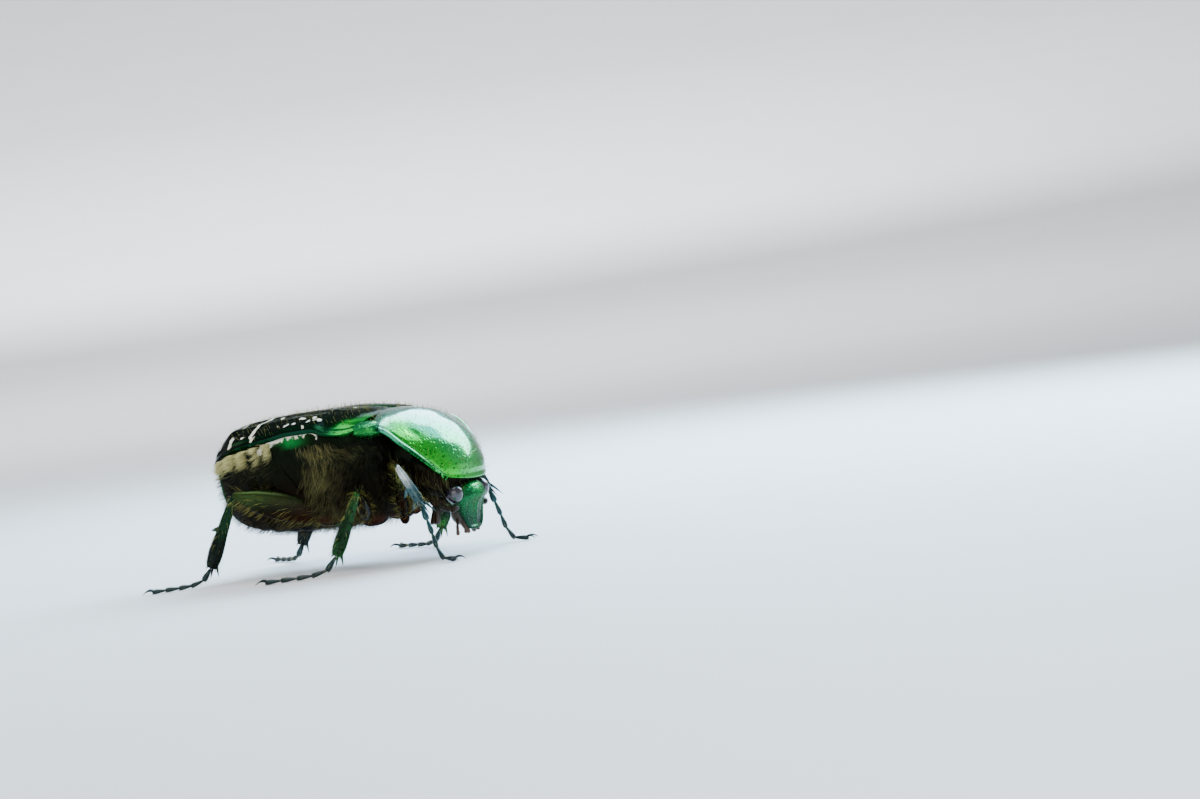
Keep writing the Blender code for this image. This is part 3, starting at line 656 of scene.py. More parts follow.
def build_chalk_group():
    """Ragged edges for the pale marks that a piece carries in its chalk attribute."""
    group, _, out = new_group("chalk_marks", {}, {"Mask": FLOAT})
    edge = noise_texture(group, 2600.0, 3.0)
    breaks = noise_texture(group, 9000.0, 2.0)
    both = math_node(group, "MULTIPLY_ADD", breaks, 0.6, edge)
    wobble = math_node(group, "SUBTRACT", both, 0.8)
    total = math_node(group, "MULTIPLY_ADD", wobble, RAGGEDNESS, attribute(group, "chalk"))
    feed(group, out["Mask"], map_range(group, total, 0.44, 0.6))
    return group


def metal_cuticle(name, tints, heights, pits, pit_size=0.5, clouds=0.5, metallic=0.85,
                  roughness=0.26, depth=0.012, coat=0.15, chalk=False, pit_shade=0.55,
                  vivid=None, edge=(0.25, 0.45, 0.4), gloss=0.5):
    """A shiny metallic cuticle with pits, and pale chalk marks where the piece carries them."""
    made, tree, shade = new_material(name)
    low, middle, high = tints
    colour = add(tree, "ShaderNodeGroup", node_tree=SHIMMER, Low_colour=low, Middle_colour=middle,
                 High_colour=high, Low_height=heights[0] * MILLIMETRE,
                 High_height=heights[1] * MILLIMETRE, Clouds=clouds).outputs["Colour"]
    if vivid:
        patch = attribute(tree, "vivid")
        colour = mix_colour(tree, patch, colour, vivid)
    surface = add(tree, "ShaderNodeGroup", node_tree=PITS, Pits_per_metre=pits,
                  Pit_size=pit_size).outputs
    darker = mix_colour(tree, 1.0, colour, (pit_shade, pit_shade, pit_shade), "MULTIPLY")
    colour = mix_colour(tree, surface["Pits"], colour, darker)
    rough = math_node(tree, "MULTIPLY_ADD", surface["Pits"], PIT_ROUGHNESS, roughness)
    if chalk:
        mask = add(tree, "ShaderNodeGroup", node_tree=CHALK).outputs["Mask"]
        colour = mix_colour(tree, mask, colour, CHALK_WHITE)
        rough = math_node(tree, "MULTIPLY_ADD", mask, 0.5, rough, clamp=True)
        bare = math_node(tree, "SUBTRACT", 1.0, mask)
        metallic = math_node(tree, "MULTIPLY", bare, metallic)
        coat = math_node(tree, "MULTIPLY", bare, coat)
    elif vivid:
        coat = math_node(tree, "MULTIPLY_ADD", patch, -PATCH_COAT_LOSS * coat, coat)
    shade(Base_Color=colour, Roughness=rough, Metallic=metallic, Coat_Weight=coat,
          Coat_Roughness=0.12, Specular_Tint=edge, Specular_IOR_Level=gloss,
          Normal=bumped(tree, surface["Height"], 1.0, depth))
    return made


def hair_finish(name, dark, pale):
    """Hair that is darker at its root and varies from one hair to the next."""
    made, tree, shade = new_material(name)
    drift = math_node(tree, "SUBTRACT", noise_texture(tree, 700.0, 2.0), 0.5)
    share = math_node(tree, "MULTIPLY_ADD", drift, 0.6, attribute(tree, "tint"), clamp=True)
    shade(Base_Color=mix_colour(tree, share, dark, pale), Roughness=0.5, Specular_IOR_Level=0.12)
    return made


def eye_finish(name):
    """A dark, glossy eye with fine facets."""
    made, tree, shade = new_material(name)
    facets = cell_texture(tree, 24000.0, 0.15)
    colour = mix_colour(tree, noise_texture(tree, 1500.0, 2.0), *EYE_TINTS)
    shade(Base_Color=colour, Roughness=math_node(tree, "MULTIPLY_ADD", facets, 0.15, 0.04),
          Specular_IOR_Level=0.5, Coat_Weight=0.5, Coat_Roughness=0.06,
          Normal=bumped(tree, facets, 0.6, 0.0015, invert=True))
    return made


def floor_finish():
    made, tree, shade = new_material("pale_floor")
    shade(Base_Color=mix_colour(tree, noise_texture(tree, 60.0, 5.0), *FLOOR_TINTS), Roughness=0.7)
    return made


# Pieces

def finer_rim(v):
    """Sets the grid lines closer together towards the outer edge."""
    return 1 - (1 - v) ** RIM_CROWDING


def build_wing_cases():
    for label, side in SIDES:
        shape = bmesh.new()
        chalk = shape.verts.layers.float.new("chalk")
        vivid = shape.verts.layers.float.new("vivid")
        spots = grid_onto(shape, 150, 64, lambda u, v: case_point(u, finer_rim(v), side))
        moves = []
        for vertex, u, v in spots:
            v = finer_rim(v)
            moves.append((vertex, case_relief(vertex.co, v)))
            half_width = case_half_width(vertex.co.x)
            # The vivid patch on the shoulder and along the base is a painted green sheen.
            painted_base_sheen = 0.55 * hump(vertex.co.x, 3.1, 0.5) * ramp(v, 0.15, 0.5)
            vertex[vivid] = max(hump(vertex.co.x, 2.45, 0.62) * ramp(v, 0.5, 0.86), painted_base_sheen)
            marks = [([(x, share * half_width) for x, share in route], thickness)
                     for route, thickness in CASE_MARKS]
            vertex[chalk] = mark_strength(vertex.co, (vertex.co.x, v * half_width), marks)
        shift_outward(shape, moves)
        finished(f"wing_case_{label}", shape, "wing_case_dark_green",
                 [f"elytron_{label}"], SHELL)


def build_pronotum():
    shape = bmesh.new()
    vivid = shape.verts.layers.float.new("vivid")
    spots = grid_onto(shape, 96, 150, lambda u, v: pronotum_point(u, 2 * v - 1))
    for vertex, u, v in spots:
        # Brighter green on the sides, partly a painted reflection.
        side_share = ramp(abs(2 * v - 1), 0.42, 0.8) * ramp(u, 0.02, 0.35)
        vertex[vivid] = side_share * (1 - ramp(abs(2 * v - 1), 0.93, 0.98))
    shift_outward(shape, [(w, pronotum_relief(w.co, u, 2 * v - 1)) for w, u, v in spots])
    finished("pronotum_plate", shape, "pronotum_green", ["pronotum"], SHELL)


def build_scutellum():
    shape = bmesh.new()
    spots = grid_onto(shape, 40, 24, scutellum_point)
    shift_outward(shape, [(w, -0.02 * hump(abs(2 * v - 1), 0.85, 0.08)) for w, _, v in spots])
    finished("scutellum_plate", shape, "scutellum_green", ["scutellum"], SHELL)


def build_shoulder_plates():
    for label, side in SIDES:
        shape = bmesh.new()
        ellipsoid_onto(shape, mirrored(MESEPIMERON_CENTRE, side), MESEPIMERON_RADII, power=0.85)
        finished(f"shoulder_plate_{label}", shape, "shoulder_green",
                 [f"mesepimeron_{label}"])


def chalk_and_patch(shape):
    """Writes where the side of the body is white, and where it is bare green."""
    chalk = shape.verts.layers.float.new("chalk")
    vivid = shape.verts.layers.float.new("vivid")
    for vertex in shape.verts:
        if abs(vertex.co.y) < 2.2:
            continue
        vertex[vivid] = hump(vertex.co.x, -1.35, 0.85) * ramp(vertex.co.z, 7.35, 7.5)
        vertex[chalk] = mark_strength(vertex.co, (vertex.co.x, vertex.co.z), BAND_MARKS)


def build_trunk():
    shape = bmesh.new()
    ball_onto(shape, 128, 200, trunk_point)
    chalk_and_patch(shape)
    finished("underside", shape, "side_cuticle", ["pterothorax", "abdomen"])

    shape = bmesh.new()
    ball_onto(shape, 48, 32, prothorax_point)
    ellipsoid_onto(shape, (5.0, 0, 6.2), (1.5, 3.3, 1.7))
    finished("fore_chest", shape, "side_cuticle", ["prothorax"])

    shape = bmesh.new()
    limb_onto(shape, (0.6, 0, 2.62), (3.3, 0, 2.75), lambda s: 0.55 - 0.15 * s, 0.45,
              side=(0, 1, 0))
    ellipsoid_onto(shape, (3.2, 0, 2.75), (0.5, 0.55, 0.28))
    for side in (-1, 1):
        for which, radii in HIP_SOCKETS.items():
            hip = mirrored(LEGS[which]["hip"], side)
            centre = Vector((hip.x - 0.1, hip.y * 0.62, hip.z - 0.1))
            ellipsoid_onto(shape, centre, radii, power=0.85)
    finished("hip_plates", shape, "coppery_belly")


def tail_point(t, angle):
    """The tail plate caps the rear end of the trunk, with its inner face inside the trunk."""
    share = 1 - abs(2 * t - 1)
    if t <= 0.5:
        share = TAIL_SPAN * share
        point = trunk_point(share, angle)
        wrinkle = 0.02 * noise.noise(Vector((point.x * 3, point.y * 0.8, point.z * 3)))
        lift = TAIL_LIFT * (1 - (share / TAIL_SPAN) ** 6) + wrinkle
        high = point.z - TRUNK_MIDDLE_Z
        outward = Vector((-0.4, point.y, high)).normalized()
        bead = outward * (0.07 * hump(share / TAIL_SPAN, 0.95, 0.035))
        return point + Vector((-1, 0.12 * point.y, 0.1 * high)) * lift + bead
    point = trunk_point(TAIL_SPAN * share, angle)
    return Vector((point.x + 0.12, point.y * 0.96,
                   TRUNK_MIDDLE_Z + (point.z - TRUNK_MIDDLE_Z) * 0.96))


def build_tail_plate():
    shape = bmesh.new()
    chalk = shape.verts.layers.float.new("chalk")
    ball_onto(shape, 96, 64, tail_point)
    for vertex in shape.verts:
        for spot in TAIL_SPOTS:
            gap = (Vector((abs(vertex.co.y), vertex.co.z)) - Vector(spot)).length
            vertex[chalk] = max(vertex[chalk], spot_strength(gap, TAIL_SPOT_SIZE))
    finished("tail_plate", shape, "tail_green", ["pygidium"])


def head_point(t, angle):
    axis = (HEAD_TIP - HEAD_TOP).normalized()
    across = Vector((0, 1, 0))
    front = axis.cross(across)
    s = (1 - math.cos(math.pi * t)) / 2
    ring = math.sin(math.pi * t) ** 0.5
    wide = signed_power(math.cos(angle), 0.9)
    deep = signed_power(math.sin(angle), 0.95)
    lift = 0.0
    if (front * deep).x > 0:
        face = ramp(s, 0.35, 0.5)
        lift = -0.14 * face * (1 - ramp(abs(wide), 0.7, 0.9)) * (1 - ramp(s, 0.9, 0.97))
        lift += 0.05 * hump(wide, 0, 0.12) * ramp(s, 0.2, 0.4)
    point = (HEAD_TOP + (HEAD_TIP - HEAD_TOP) * s + across * (head_half_width(s) * ring * wide)
             + front * (head_half_depth(s) * ring * deep))
    point.x += lift
    return point


def build_head():
    shape = bmesh.new()
    ball_onto(shape, 96, 80, head_point)
    for side in (-1, 1):
        start, end = mirrored((7.6, -1.3, 3.35), side), mirrored((7.45, -2.0, 3.3), side)
        limb_onto(shape, start, end, lambda s: 0.14, 0.6)
    finished("head_capsule", shape, "head_green", ["head"])
    for label, side in SIDES:
        shape = bmesh.new()
        ellipsoid_onto(shape, mirrored(EYE_CENTRE, side), EYE_RADII, around=48, along=32)
        finished(f"compound_eye_{label}", shape, "compound_eye", [f"eye_{label}"])
    build_mouth()


def build_mouth():
    shape = bmesh.new()
    ellipsoid_onto(shape, (6.75, 0, 2.35), (0.6, 0.9, 0.75))
    for side in (-1, 1):
        for route in PALPS:
            points = [mirrored(p, side) for p in route]
            for i, (a, b) in enumerate(zip(points, points[1:])):
                reach = (b - a).length + 0.04
                limb_onto(shape, toward(b, a, reach), toward(a, b, reach),
                          lambda s, i=i: 0.07 + 0.015 * i + 0.02 * s, around=14, along=14)
        limb_onto(shape, mirrored((6.95, -0.5, 2.0), side), mirrored((7.2, -0.35, 1.15), side),
                  lambda s: 0.24 - 0.1 * s)
    finished("mouth", shape, "mouth_brown", ["mouthparts"])


def build_feelers():
    for label, side in SIDES:
        shape = bmesh.new()
        route = [mirrored(p, side) for p in FEELER_ROUTE]
        limb_onto(shape, route[0], route[1], lambda s: 0.15 + 0.1 * s)
        for i in range(FEELER_SEGMENTS):
            a = route[1].lerp(route[2], i / FEELER_SEGMENTS - 0.02)
            b = route[1].lerp(route[2], (i + 1) / FEELER_SEGMENTS + 0.02)
            limb_onto(shape, a, b, lambda s, i=i: 0.13 + 0.012 * i + 0.04 * s, around=14,
                      along=10)
        club = [mirrored(p, side) for p in FEELER_CLUB]
        for spread in (-0.2, 0.0, 0.2):
            shift = Vector((spread, 0, 0))
            limb_onto(shape, club[0] + shift * 0.4, club[1] + shift,
                      lambda s: 0.2 + 0.1 * s, 0.3, side=(0, 1, 0))
        finished(f"feeler_{label}", shape, "feeler_brown", [f"antenna_{label}"])


# Skins of the limbs that carry hair: kind, both ends and what gives a point of the skin.
LIMB_SKINS = []


def scaled_profile(profile, wide):
    return smooth([(place, share * wide) for place, share in profile])


def build_thigh(which, label, leg):
    wide = FEMUR_HALF_WIDTH[which]
    profile = scaled_profile(FEMUR_PROFILE, wide)
    shape = bmesh.new()
    knee = toward(leg["hip"], leg["knee"], (leg["knee"] - leg["hip"]).length + 0.1)
    place = limb_onto(shape, leg["hip"], knee, profile, 0.6, around=36, along=48)
    LIMB_SKINS.append(("thigh", leg["hip"], knee, place))
    ahead = toward(leg["hip"], leg["knee"], 0.35)
    limb_onto(shape, toward(leg["hip"], leg["knee"], -0.35), ahead, lambda s: 0.62 * wide, 0.8)
    finished(f"thigh_{which}_{label}", shape, "thigh_green",
             [f"femur_{which}_{label}"])


def build_shin(which, label, leg):
    wide = TIBIA_HALF_WIDTH[which]
    flare = TIBIA_FLARE[which]
    profile = scaled_profile(TIBIA_PROFILE + [(0.85, flare), (1, flare)], wide)
    shape = bmesh.new()
    start, end = leg["knee"], leg["ankle"]
    place = limb_onto(shape, start, end, profile, 0.75, side=(1, 0, 0), around=48, along=48,
                      blunt=0.3, ridges=0.07)
    LIMB_SKINS.append(("shin", start, end, place))
    axis = (end - start).normalized()
    back = Vector((-1, 0, 0)) + axis * axis.x
    back.normalize()
    for share in TIBIA_TEETH[which]:
        root = start.lerp(end, share) + back * (0.55 * wide) - axis * 0.12
        horn_onto(shape, root, root + back * 0.5 + axis * 0.3, 0.22)
    for turn in (-0.5, 0.5):
        root = start.lerp(end, 0.95) - back * (0.5 * wide) + Vector((0, turn * wide, 0))
        tip = root + axis * 0.8 + Vector((0.25, turn * 0.5, 0))
        horn_onto(shape, root, tip, 0.1)
    for i in range(SHIN_BRISTLES):
        edge = place(0.93, math.radians(360 / SHIN_BRISTLES * i))
        out = (edge - end).normalized()
        horn_onto(shape, edge - out * 0.06, edge + axis * 0.2 + out * 0.05, 0.035)
    finished(f"shin_{which}_{label}", shape, SHIN_LOOKS[which],
             [f"tibia_{which}_{label}"])


def point_along(route, distance):
    for a, b in zip(route, route[1:]):
        if distance <= (b - a).length or b is route[-1]:
            return toward(a, b, distance)
        distance -= (b - a).length


def build_foot(which, label, leg):
    route = [toward(leg["ankle"], leg["foot"][0], 0.05)] + leg["foot"]
    length = sum((b - a).length for a, b in zip(route, route[1:])) / FOOT_SEGMENTS
    shape = bmesh.new()
    for i in range(FOOT_SEGMENTS):
        start = point_along(route, length * i)
        ahead = (point_along(route, length * (i + 1)) - start).normalized()
        end = start + ahead * (length + 0.06)
        size = FOOT_RADIUS * (0.9 if i else 1.1)
        place = limb_onto(shape, start, end, scaled_profile(SEGMENT_PROFILE, size), 0.85,
                          side=(0, 1, 0), along=20, blunt=0.4)
        LIMB_SKINS.append(("foot", start, end, place))
        down = Vector((0, 0, -1)) - ahead * -ahead.z
        for turn in (-0.1, 0.1):
            root = start + ahead * (length * 0.85) + down * (0.6 * size)
            root += ahead.cross(down) * turn
            tip = root + ahead * 0.22 + down * 0.06
            tip.z = max(tip.z, 0.05)
            horn_onto(shape, root, tip, 0.035)
    tip, ahead = route[-1], (route[-1] - route[-2]).normalized()
    across = Vector((-ahead.y, ahead.x, 0)).normalized()
    for turn in (-1, 1):
        root = tip + across * (turn * 0.07) - ahead * 0.12
        end = tip + ahead * CLAW_LENGTH + across * (turn * 0.34)
        end.z = 0.07
        horn_onto(shape, root, end, 0.1, bow=Vector((0, 0, 0.16)) + across * (turn * 0.06))
    for vertex in shape.verts:
        vertex.co.z = max(vertex.co.z, 0.0)
    finished(f"foot_{which}_{label}", shape, "foot_dark",
             [f"tarsus_{which}_{label}"])


def build_legs():
    for label, side in SIDES:
        shape = bmesh.new()
        start, end = mirrored(FORE_COXA[0], side), mirrored(FORE_COXA[1], side)
        limb_onto(shape, start, end, lambda s: 0.75 - 0.1 * s, 0.85)
        finished(f"fore_hip_{label}", shape, "coppery_belly",
                 [f"coxa_fore_{label}"])
        for which, joints in LEGS.items():
            leg = {key: mirrored(value, side) for key, value in joints.items() if key != "foot"}
            leg["foot"] = [mirrored(p, side) for p in joints["foot"]]
            build_thigh(which, label, leg)
            build_shin(which, label, leg)
            build_foot(which, label, leg)


# Hair

HAIR_RINGS = (0.0, 0.35, 0.7)
HAIR_SIDES = 3
HAIR_PATCH = 0.0015
UNWRAP_BORDER = 0.02
# Share of its width that a hair loses towards its tip, and how its tint shifts at root and tip.
HAIR_TAPER, ROOT_SHADE, TIP_GLOW = 0.6, 0.25, 0.15
# Where hair grows on the trunk: from and to along the body, then round it in degrees.
SIDE_SPAN = (-1.6, 4.45, -78, 8)
TUFT_SPAN = (-7.6, -2.6, -62, 4)
BELLY_SPAN = (-6.5, 4.2, -90, -55)
# Hairs drawn for each limb, and their shortest and longest.
LEG_HAIR = {"thigh": (360, 0.35, 0.8), "shin": (150, 0.25, 0.55), "foot": (16, 0.15, 0.3)}


def hair_faces():
    """Faces of one hair: a foot, two bands and the tip."""
    faces = [(2, 1, 0)]
    for ring in range(len(HAIR_RINGS) - 1):
        for i in range(HAIR_SIDES):
            a, b = ring * HAIR_SIDES + i, ring * HAIR_SIDES + (i + 1) % HAIR_SIDES
            faces += [(a, b, b + HAIR_SIDES), (a, b + HAIR_SIDES, a + HAIR_SIDES)]
    last = (len(HAIR_RINGS) - 1) * HAIR_SIDES
    tip = len(HAIR_RINGS) * HAIR_SIDES
    faces += [(last + i, last + (i + 1) % HAIR_SIDES, tip) for i in range(HAIR_SIDES)]
    return np.array(faces)


def unit_rows(rows):
    return rows / np.linalg.norm(rows, axis=1)[:, None]


def hair_piece(name, hairs, finish):
    """Grows tapered hairs; each is (root, first aim, last aim, length, width, tint, unwrap)."""
    root, first, last = (np.array([h[i][:] for h in hairs]) for i in range(3))
    length, width, tint = (np.array([h[i] for h in hairs]) for i in range(3, 6))
    unwrap = np.array([h[6] for h in hairs])
    first, last = unit_rows(first), unit_rows(last)
    helper = np.where(np.abs(first[:, 2:3]) < 0.8, [[0.0, 0.0, 1.0]], [[1.0, 0.0, 0.0]])
    across = unit_rows(np.cross(first, helper))
    deep = np.cross(first, across)

    def spine(share):
        return root + length[:, None] * (first * (share - share ** 2 / 2) + last * share ** 2 / 2)

    points, tints = [], []
    for share in HAIR_RINGS:
        radius = (width / 2 * (1 - HAIR_TAPER * share))[:, None]
        for i in range(HAIR_SIDES):
            turn = 2 * math.pi * i / HAIR_SIDES
            points.append(spine(share) + radius * (across * math.cos(turn) + deep * math.sin(turn)))
            tints.append(tint - ROOT_SHADE * (1 - share))
    points = np.stack(points + [spine(1.0)], axis=1)
    tints = np.stack(tints + [tint + TIP_GLOW], axis=1)
    count = points.shape[1]
    faces = hair_faces()[None] + (np.arange(len(hairs)) * count)[:, None, None]
    data = bpy.data.meshes.new(name)
    data.from_pydata(points.reshape(-1, 3).tolist(), [], faces.reshape(-1, 3).tolist())
    data.attributes.new("tint", "FLOAT", "POINT").data.foreach_set(
        "value", tints.reshape(-1))
    turns = np.arange(count) * 2.4
    patch = unwrap[:, None, :] + HAIR_PATCH * np.stack([np.cos(turns), np.sin(turns)], axis=1)[None]
    layer = data.uv_layers.new(name="OFBake")
    layer.data.foreach_set("uv", patch.reshape(-1, 2)[faces.reshape(-1)].reshape(-1))
    shape = bmesh.new()
    shape.from_mesh(data)
    finished(name, shape, finish)


def normal_of(place, t, angle, away):
    """Direction of a closed skin at one place, on the side that faces away."""
    step = 0.01
    along = place(min(t + step, 1), angle) - place(max(t - step, 0), angle)
    around = place(t, angle + step) - place(t, angle - step)
    normal = around.cross(along).normalized()
    return -normal if normal.dot(away) < 0 else normal


def unwrapped(along, across):
    """Place on a sheet with a narrow border, from two shares."""
    inside = 1 - 2 * UNWRAP_BORDER
    return UNWRAP_BORDER + inside * along, UNWRAP_BORDER + inside * across


def turn_share(angle):
    return (angle + math.pi) / (2 * math.pi)


def trunk_root(chance, side, low_x, high_x, low_angle, high_angle):
    """A random root on the trunk, its outward direction and its place on the unwrap."""
    x = chance.uniform(low_x, high_x)
    t = math.acos(1 - 2 * (x - TRUNK_REAR_X) / TRUNK_LENGTH) / math.pi
    angle = math.radians(chance.uniform(low_angle, high_angle))
    angle = angle if side > 0 else math.pi - angle
    root = trunk_point(t, angle)
    normal = normal_of(trunk_point, t, angle, Vector((0, root.y, root.z - TRUNK_MIDDLE_Z)))
    along = (root.x - TRUNK_REAR_X) / TRUNK_LENGTH
    return root, normal, unwrapped(along, (math.degrees(angle) % 360) / 360)


def swirl(point, scale, strength):
    return noise.noise_vector(point * scale) * strength


def stray(chance, reach):
    return Vector([chance.uniform(-reach, reach) for _ in range(3)])


def side_pile(chance, side):
    """The olive pile on the side of the chest, combed down and back."""
    while True:
        root, normal, spot = trunk_root(chance, side, *SIDE_SPAN)
        if root.z > 7.4 or chance.random() > ramp(root.x, -1.3, 0.9):
            continue
        thick = 0.75 + 0.9 * noise.noise(root * 1.7) - 0.45 * ramp(root.x, 1.6, 3.6)
        if chance.random() > thick:
            continue
        lie = Vector((-0.45 + 1.6 * ramp(root.z, 5.5, 7.5), side * 0.12, -1.0))
        lie += swirl(root, 1.1, 1.1) + swirl(root, 4.0, 0.7)
        lie += stray(chance, 0.3)
        lie -= normal * (lie.dot(normal) * 0.9)
        # Painted shade: hairs are darker towards the front, under the pronotum, and lower down.
        high = ramp(root.x, 2.9, 0.6) * (0.35 + 0.65 * ramp(root.z, 4.2, 6.6))
        tint = chance.uniform(0.0, 0.16) + high * chance.random() ** 1.7
        yield (root, normal, lie, chance.uniform(0.5, 1.35), chance.uniform(0.012, 0.023), tint,
               spot)


def belly_tufts(chance, side):
    """Dense pale tufts along the sides of the belly plates."""
    while True:
        root, normal, spot = trunk_root(chance, side, *TUFT_SPAN)
        drop = case_edge(root.x) - 0.3 - root.z
        nearest = min(abs(root.x - e - 0.25) for e in STERNITE_EDGES + [-2.2])
        nearest += 0.22 * noise.noise(root * 2.1) + 0.1 * drop
        patch = hump(nearest, 0, 0.17) * hump(drop, 0.45, 0.42)
        patch = patch * (1.0 - 0.75 * hump(root.x, -3.9, 0.45)) + 0.012
        if drop < 0 or chance.random() > patch:
            continue
        lie = Vector((-0.8, side * 0.2, -0.5)) + swirl(root, 1.5, 0.5) + swirl(root, 5.0, 0.4)
        lie += stray(chance, 0.35)
        yield (root, normal, lie, chance.uniform(0.3, 0.66), chance.uniform(0.014, 0.025),
               chance.uniform(0.35, 1.0) * (1 - 0.9 * ramp(drop, 0.5, 1.4)), spot)


def belly_hair(chance):
    """Sparse hair on the underside."""
    while True:
        root, normal, spot = trunk_root(chance, chance.choice((-1, 1)), *BELLY_SPAN)
        lie = Vector((-1.0, 0, -0.2)) + swirl(root, 1.5, 0.5)
        # Painted shade: the tints stay dark on the underside.
        yield root, normal, lie, chance.uniform(0.3, 0.7), 0.018, chance.uniform(0.0, 0.22), spot


def fore_chest_pile(chance):
    """The fringe on the fore chest, below the pronotum's edge."""
    while True:
        t, angle = chance.uniform(0.08, 0.98), chance.uniform(-math.pi, math.pi)
        root = prothorax_point(t, angle)
        normal = normal_of(prothorax_point, t, angle, root - PROTHORAX_CENTRE)
        if root.z > pronotum_edge_height(root.x) - 0.15 or normal.z > 0.3:
            continue
        lie = Vector((0.1, 0, -1.0)) + swirl(root, 1.2, 0.7) + swirl(root, 4.0, 0.35)
        lie -= normal * (lie.dot(normal) * 0.8)
        # Painted shade: the tints stay mostly dark under the pronotum's edge.
        yield (root, normal, lie, chance.uniform(0.5, 0.95), chance.uniform(0.014, 0.024),
               0.5 * chance.random() ** 3, unwrapped(t, turn_share(angle)))


def pronotum_hair(chance):
    """Fine upright hairs on the pronotum, most of them near its edges."""
    while True:
        u, v = chance.uniform(0.0, 0.98), chance.uniform(-0.97, 0.97)
        if chance.random() > 0.2 + 0.8 * ramp(abs(v), 0.6, 1.0) + 0.5 * ramp(u, 0.25, 0.0):
            continue
        root = pronotum_point(u, v)
        along = pronotum_point(min(u + 0.01, 1), v) - pronotum_point(max(u - 0.01, 0), v)
        around = pronotum_point(u, v + 0.01) - pronotum_point(u, v - 0.01)
        normal = along.cross(around).normalized()
        lean = Vector((-0.35, 0, 0)) + swirl(root, 3.0, 0.4)
        yield (root, normal, lean, chance.uniform(0.18, 0.38), 0.016, chance.uniform(0.3, 1.0),
               unwrapped(u, (v + 1) / 2))


def wing_case_hair(chance, side):
    """Fine upright hairs on a wing case."""
    while True:
        u, v = chance.uniform(0.01, 0.99), chance.uniform(0.04, 0.98)
        if chance.random() > 0.2 + 0.7 * ramp(v, 0.5, 0.1) - 0.15 * ramp(u, 0.6, 1.0):
            continue
        root = case_point(u, v, side)
        root.z += min(case_relief(root, v), 0.0)
        normal = Vector((0, side * 0.6 * v ** 3, 1)).normalized()
        lean = Vector((-0.3, 0, 0)) + swirl(root, 3.0, 0.9)
        yield (root, normal, lean, chance.uniform(0.16, 0.46), 0.013, chance.uniform(0.1, 1.0),
               unwrapped(u, v))


def tail_hair(chance):
    """Short hair on the tail plate, combed downwards."""
    while True:
        t, angle = chance.uniform(0.06, 0.49), chance.uniform(-math.pi, math.pi)
        root = tail_point(t, angle)
        if root.z > 6.6 or root.x > -6.9:
            continue
        normal = normal_of(tail_point, t, angle, Vector((-1, 0, 0)))
        lie = Vector((0, 0.15 * root.y, -1.0)) + swirl(root, 2.0, 0.5)
        yield (root, normal, lie, chance.uniform(0.2, 0.42), chance.uniform(0.012, 0.018),
               chance.uniform(0.0, 0.8), unwrapped(t, turn_share(angle)))


def leg_hair(chance):
    """Fringes on the thighs and shins, and bristles on the feet."""
    for index, (kind, start, end, place) in enumerate(LIMB_SKINS):
        number, short, long = LEG_HAIR[kind]
        axis = (end - start).normalized()
        for _ in range(number):
            t, angle = chance.uniform(0.12, 0.9), chance.uniform(-math.pi, math.pi)
            root = place(t, angle)
            normal = (root - (start + axis * (root - start).dot(axis))).normalized()
            if kind == "thigh" and normal.z > 0.3 and chance.random() > 0.15:
                continue
            if kind == "shin" and normal.x > 0.2 and chance.random() > 0.3:
                continue
            lean = axis * 0.9 + Vector((0, 0, -0.3)) + swirl(root, 2.5, 0.6)
            length = min(chance.uniform(short, long), max(root.z - 0.03, 0.05))
            spot = (0.01 + 0.97 * t, (index + 0.15 + 0.7 * turn_share(angle)) / len(LIMB_SKINS))
            yield (root, normal, lean, length, chance.uniform(0.01, 0.017),
                   chance.uniform(0.0, 0.9), spot)


# Hair pieces: what draws their hairs, how many they have, finish, slot, depth of a root, and how
# far the foot and the tip of a hair follow the skin's normal and the lie of the hair.
COATS = {
    "side_pile": (side_pile, 5200, "olive_pile", "hairy_underside", 0.03, (0.7, 0.5), (0.1, 1)),
    "belly_tufts": (belly_tufts, 2600, "cream_hair", "hairy_underside", 0.03, (0.9, 0.5), (0.3, 1)),
    "belly_hair": (belly_hair, 2200, "olive_pile", "hairy_underside", 0.02, (0.5, 0.6), (0.1, 1)),
    "fore_chest_pile": (fore_chest_pile, 2400, "olive_pile", "hairy_underside", 0.03, (0.6, 0.6),
                        (0.15, 1)),
    "pronotum_hair": (pronotum_hair, 420, "straw_hair", "green_cuticle", 0.03, (1, 0.5), (1, 1.6)),
    "wing_case_hair": (wing_case_hair, 480, "straw_hair", "wing_case", 0.02, (1, 0.4), (1, 1)),
    "tail_hair": (tail_hair, 700, "straw_hair", "green_cuticle", 0.02, (0.6, 0.5), (0.2, 1)),
    "leg_hair": (leg_hair, None, "straw_hair", "leg_cuticle", 0.02, (0.6, 0.5), (0.2, 1)),
}


def grow(kind, chance, label="", *given):
    """Grows one hair piece, with its random draws from chance."""
    draw, number, finish, slot, depth, (stand, comb), (rise, sweep) = COATS[kind]
    hairs = [(root - normal * depth, normal * stand + lie * comb, normal * rise + lie * sweep,
              *rest) for root, normal, lie, *rest in itertools.islice(draw(chance, *given), number)]
    hair_piece(kind + label, hairs, finish)


def grow_hair():
    for kind, seed in (("side_pile", 7), ("belly_tufts", 31)):
        for label, side in SIDES:
            grow(kind, random.Random(seed + side), f"_{label}", side)
    chance = random.Random(53)
    grow("belly_hair", chance)
    grow("fore_chest_pile", chance)
    chance = random.Random(77)
    grow("pronotum_hair", chance)
    for label, side in SIDES:
        grow("wing_case_hair", chance, f"_{label}", side)
    grow("tail_hair", random.Random(61))
    grow("leg_hair", random.Random(99))


# Studio

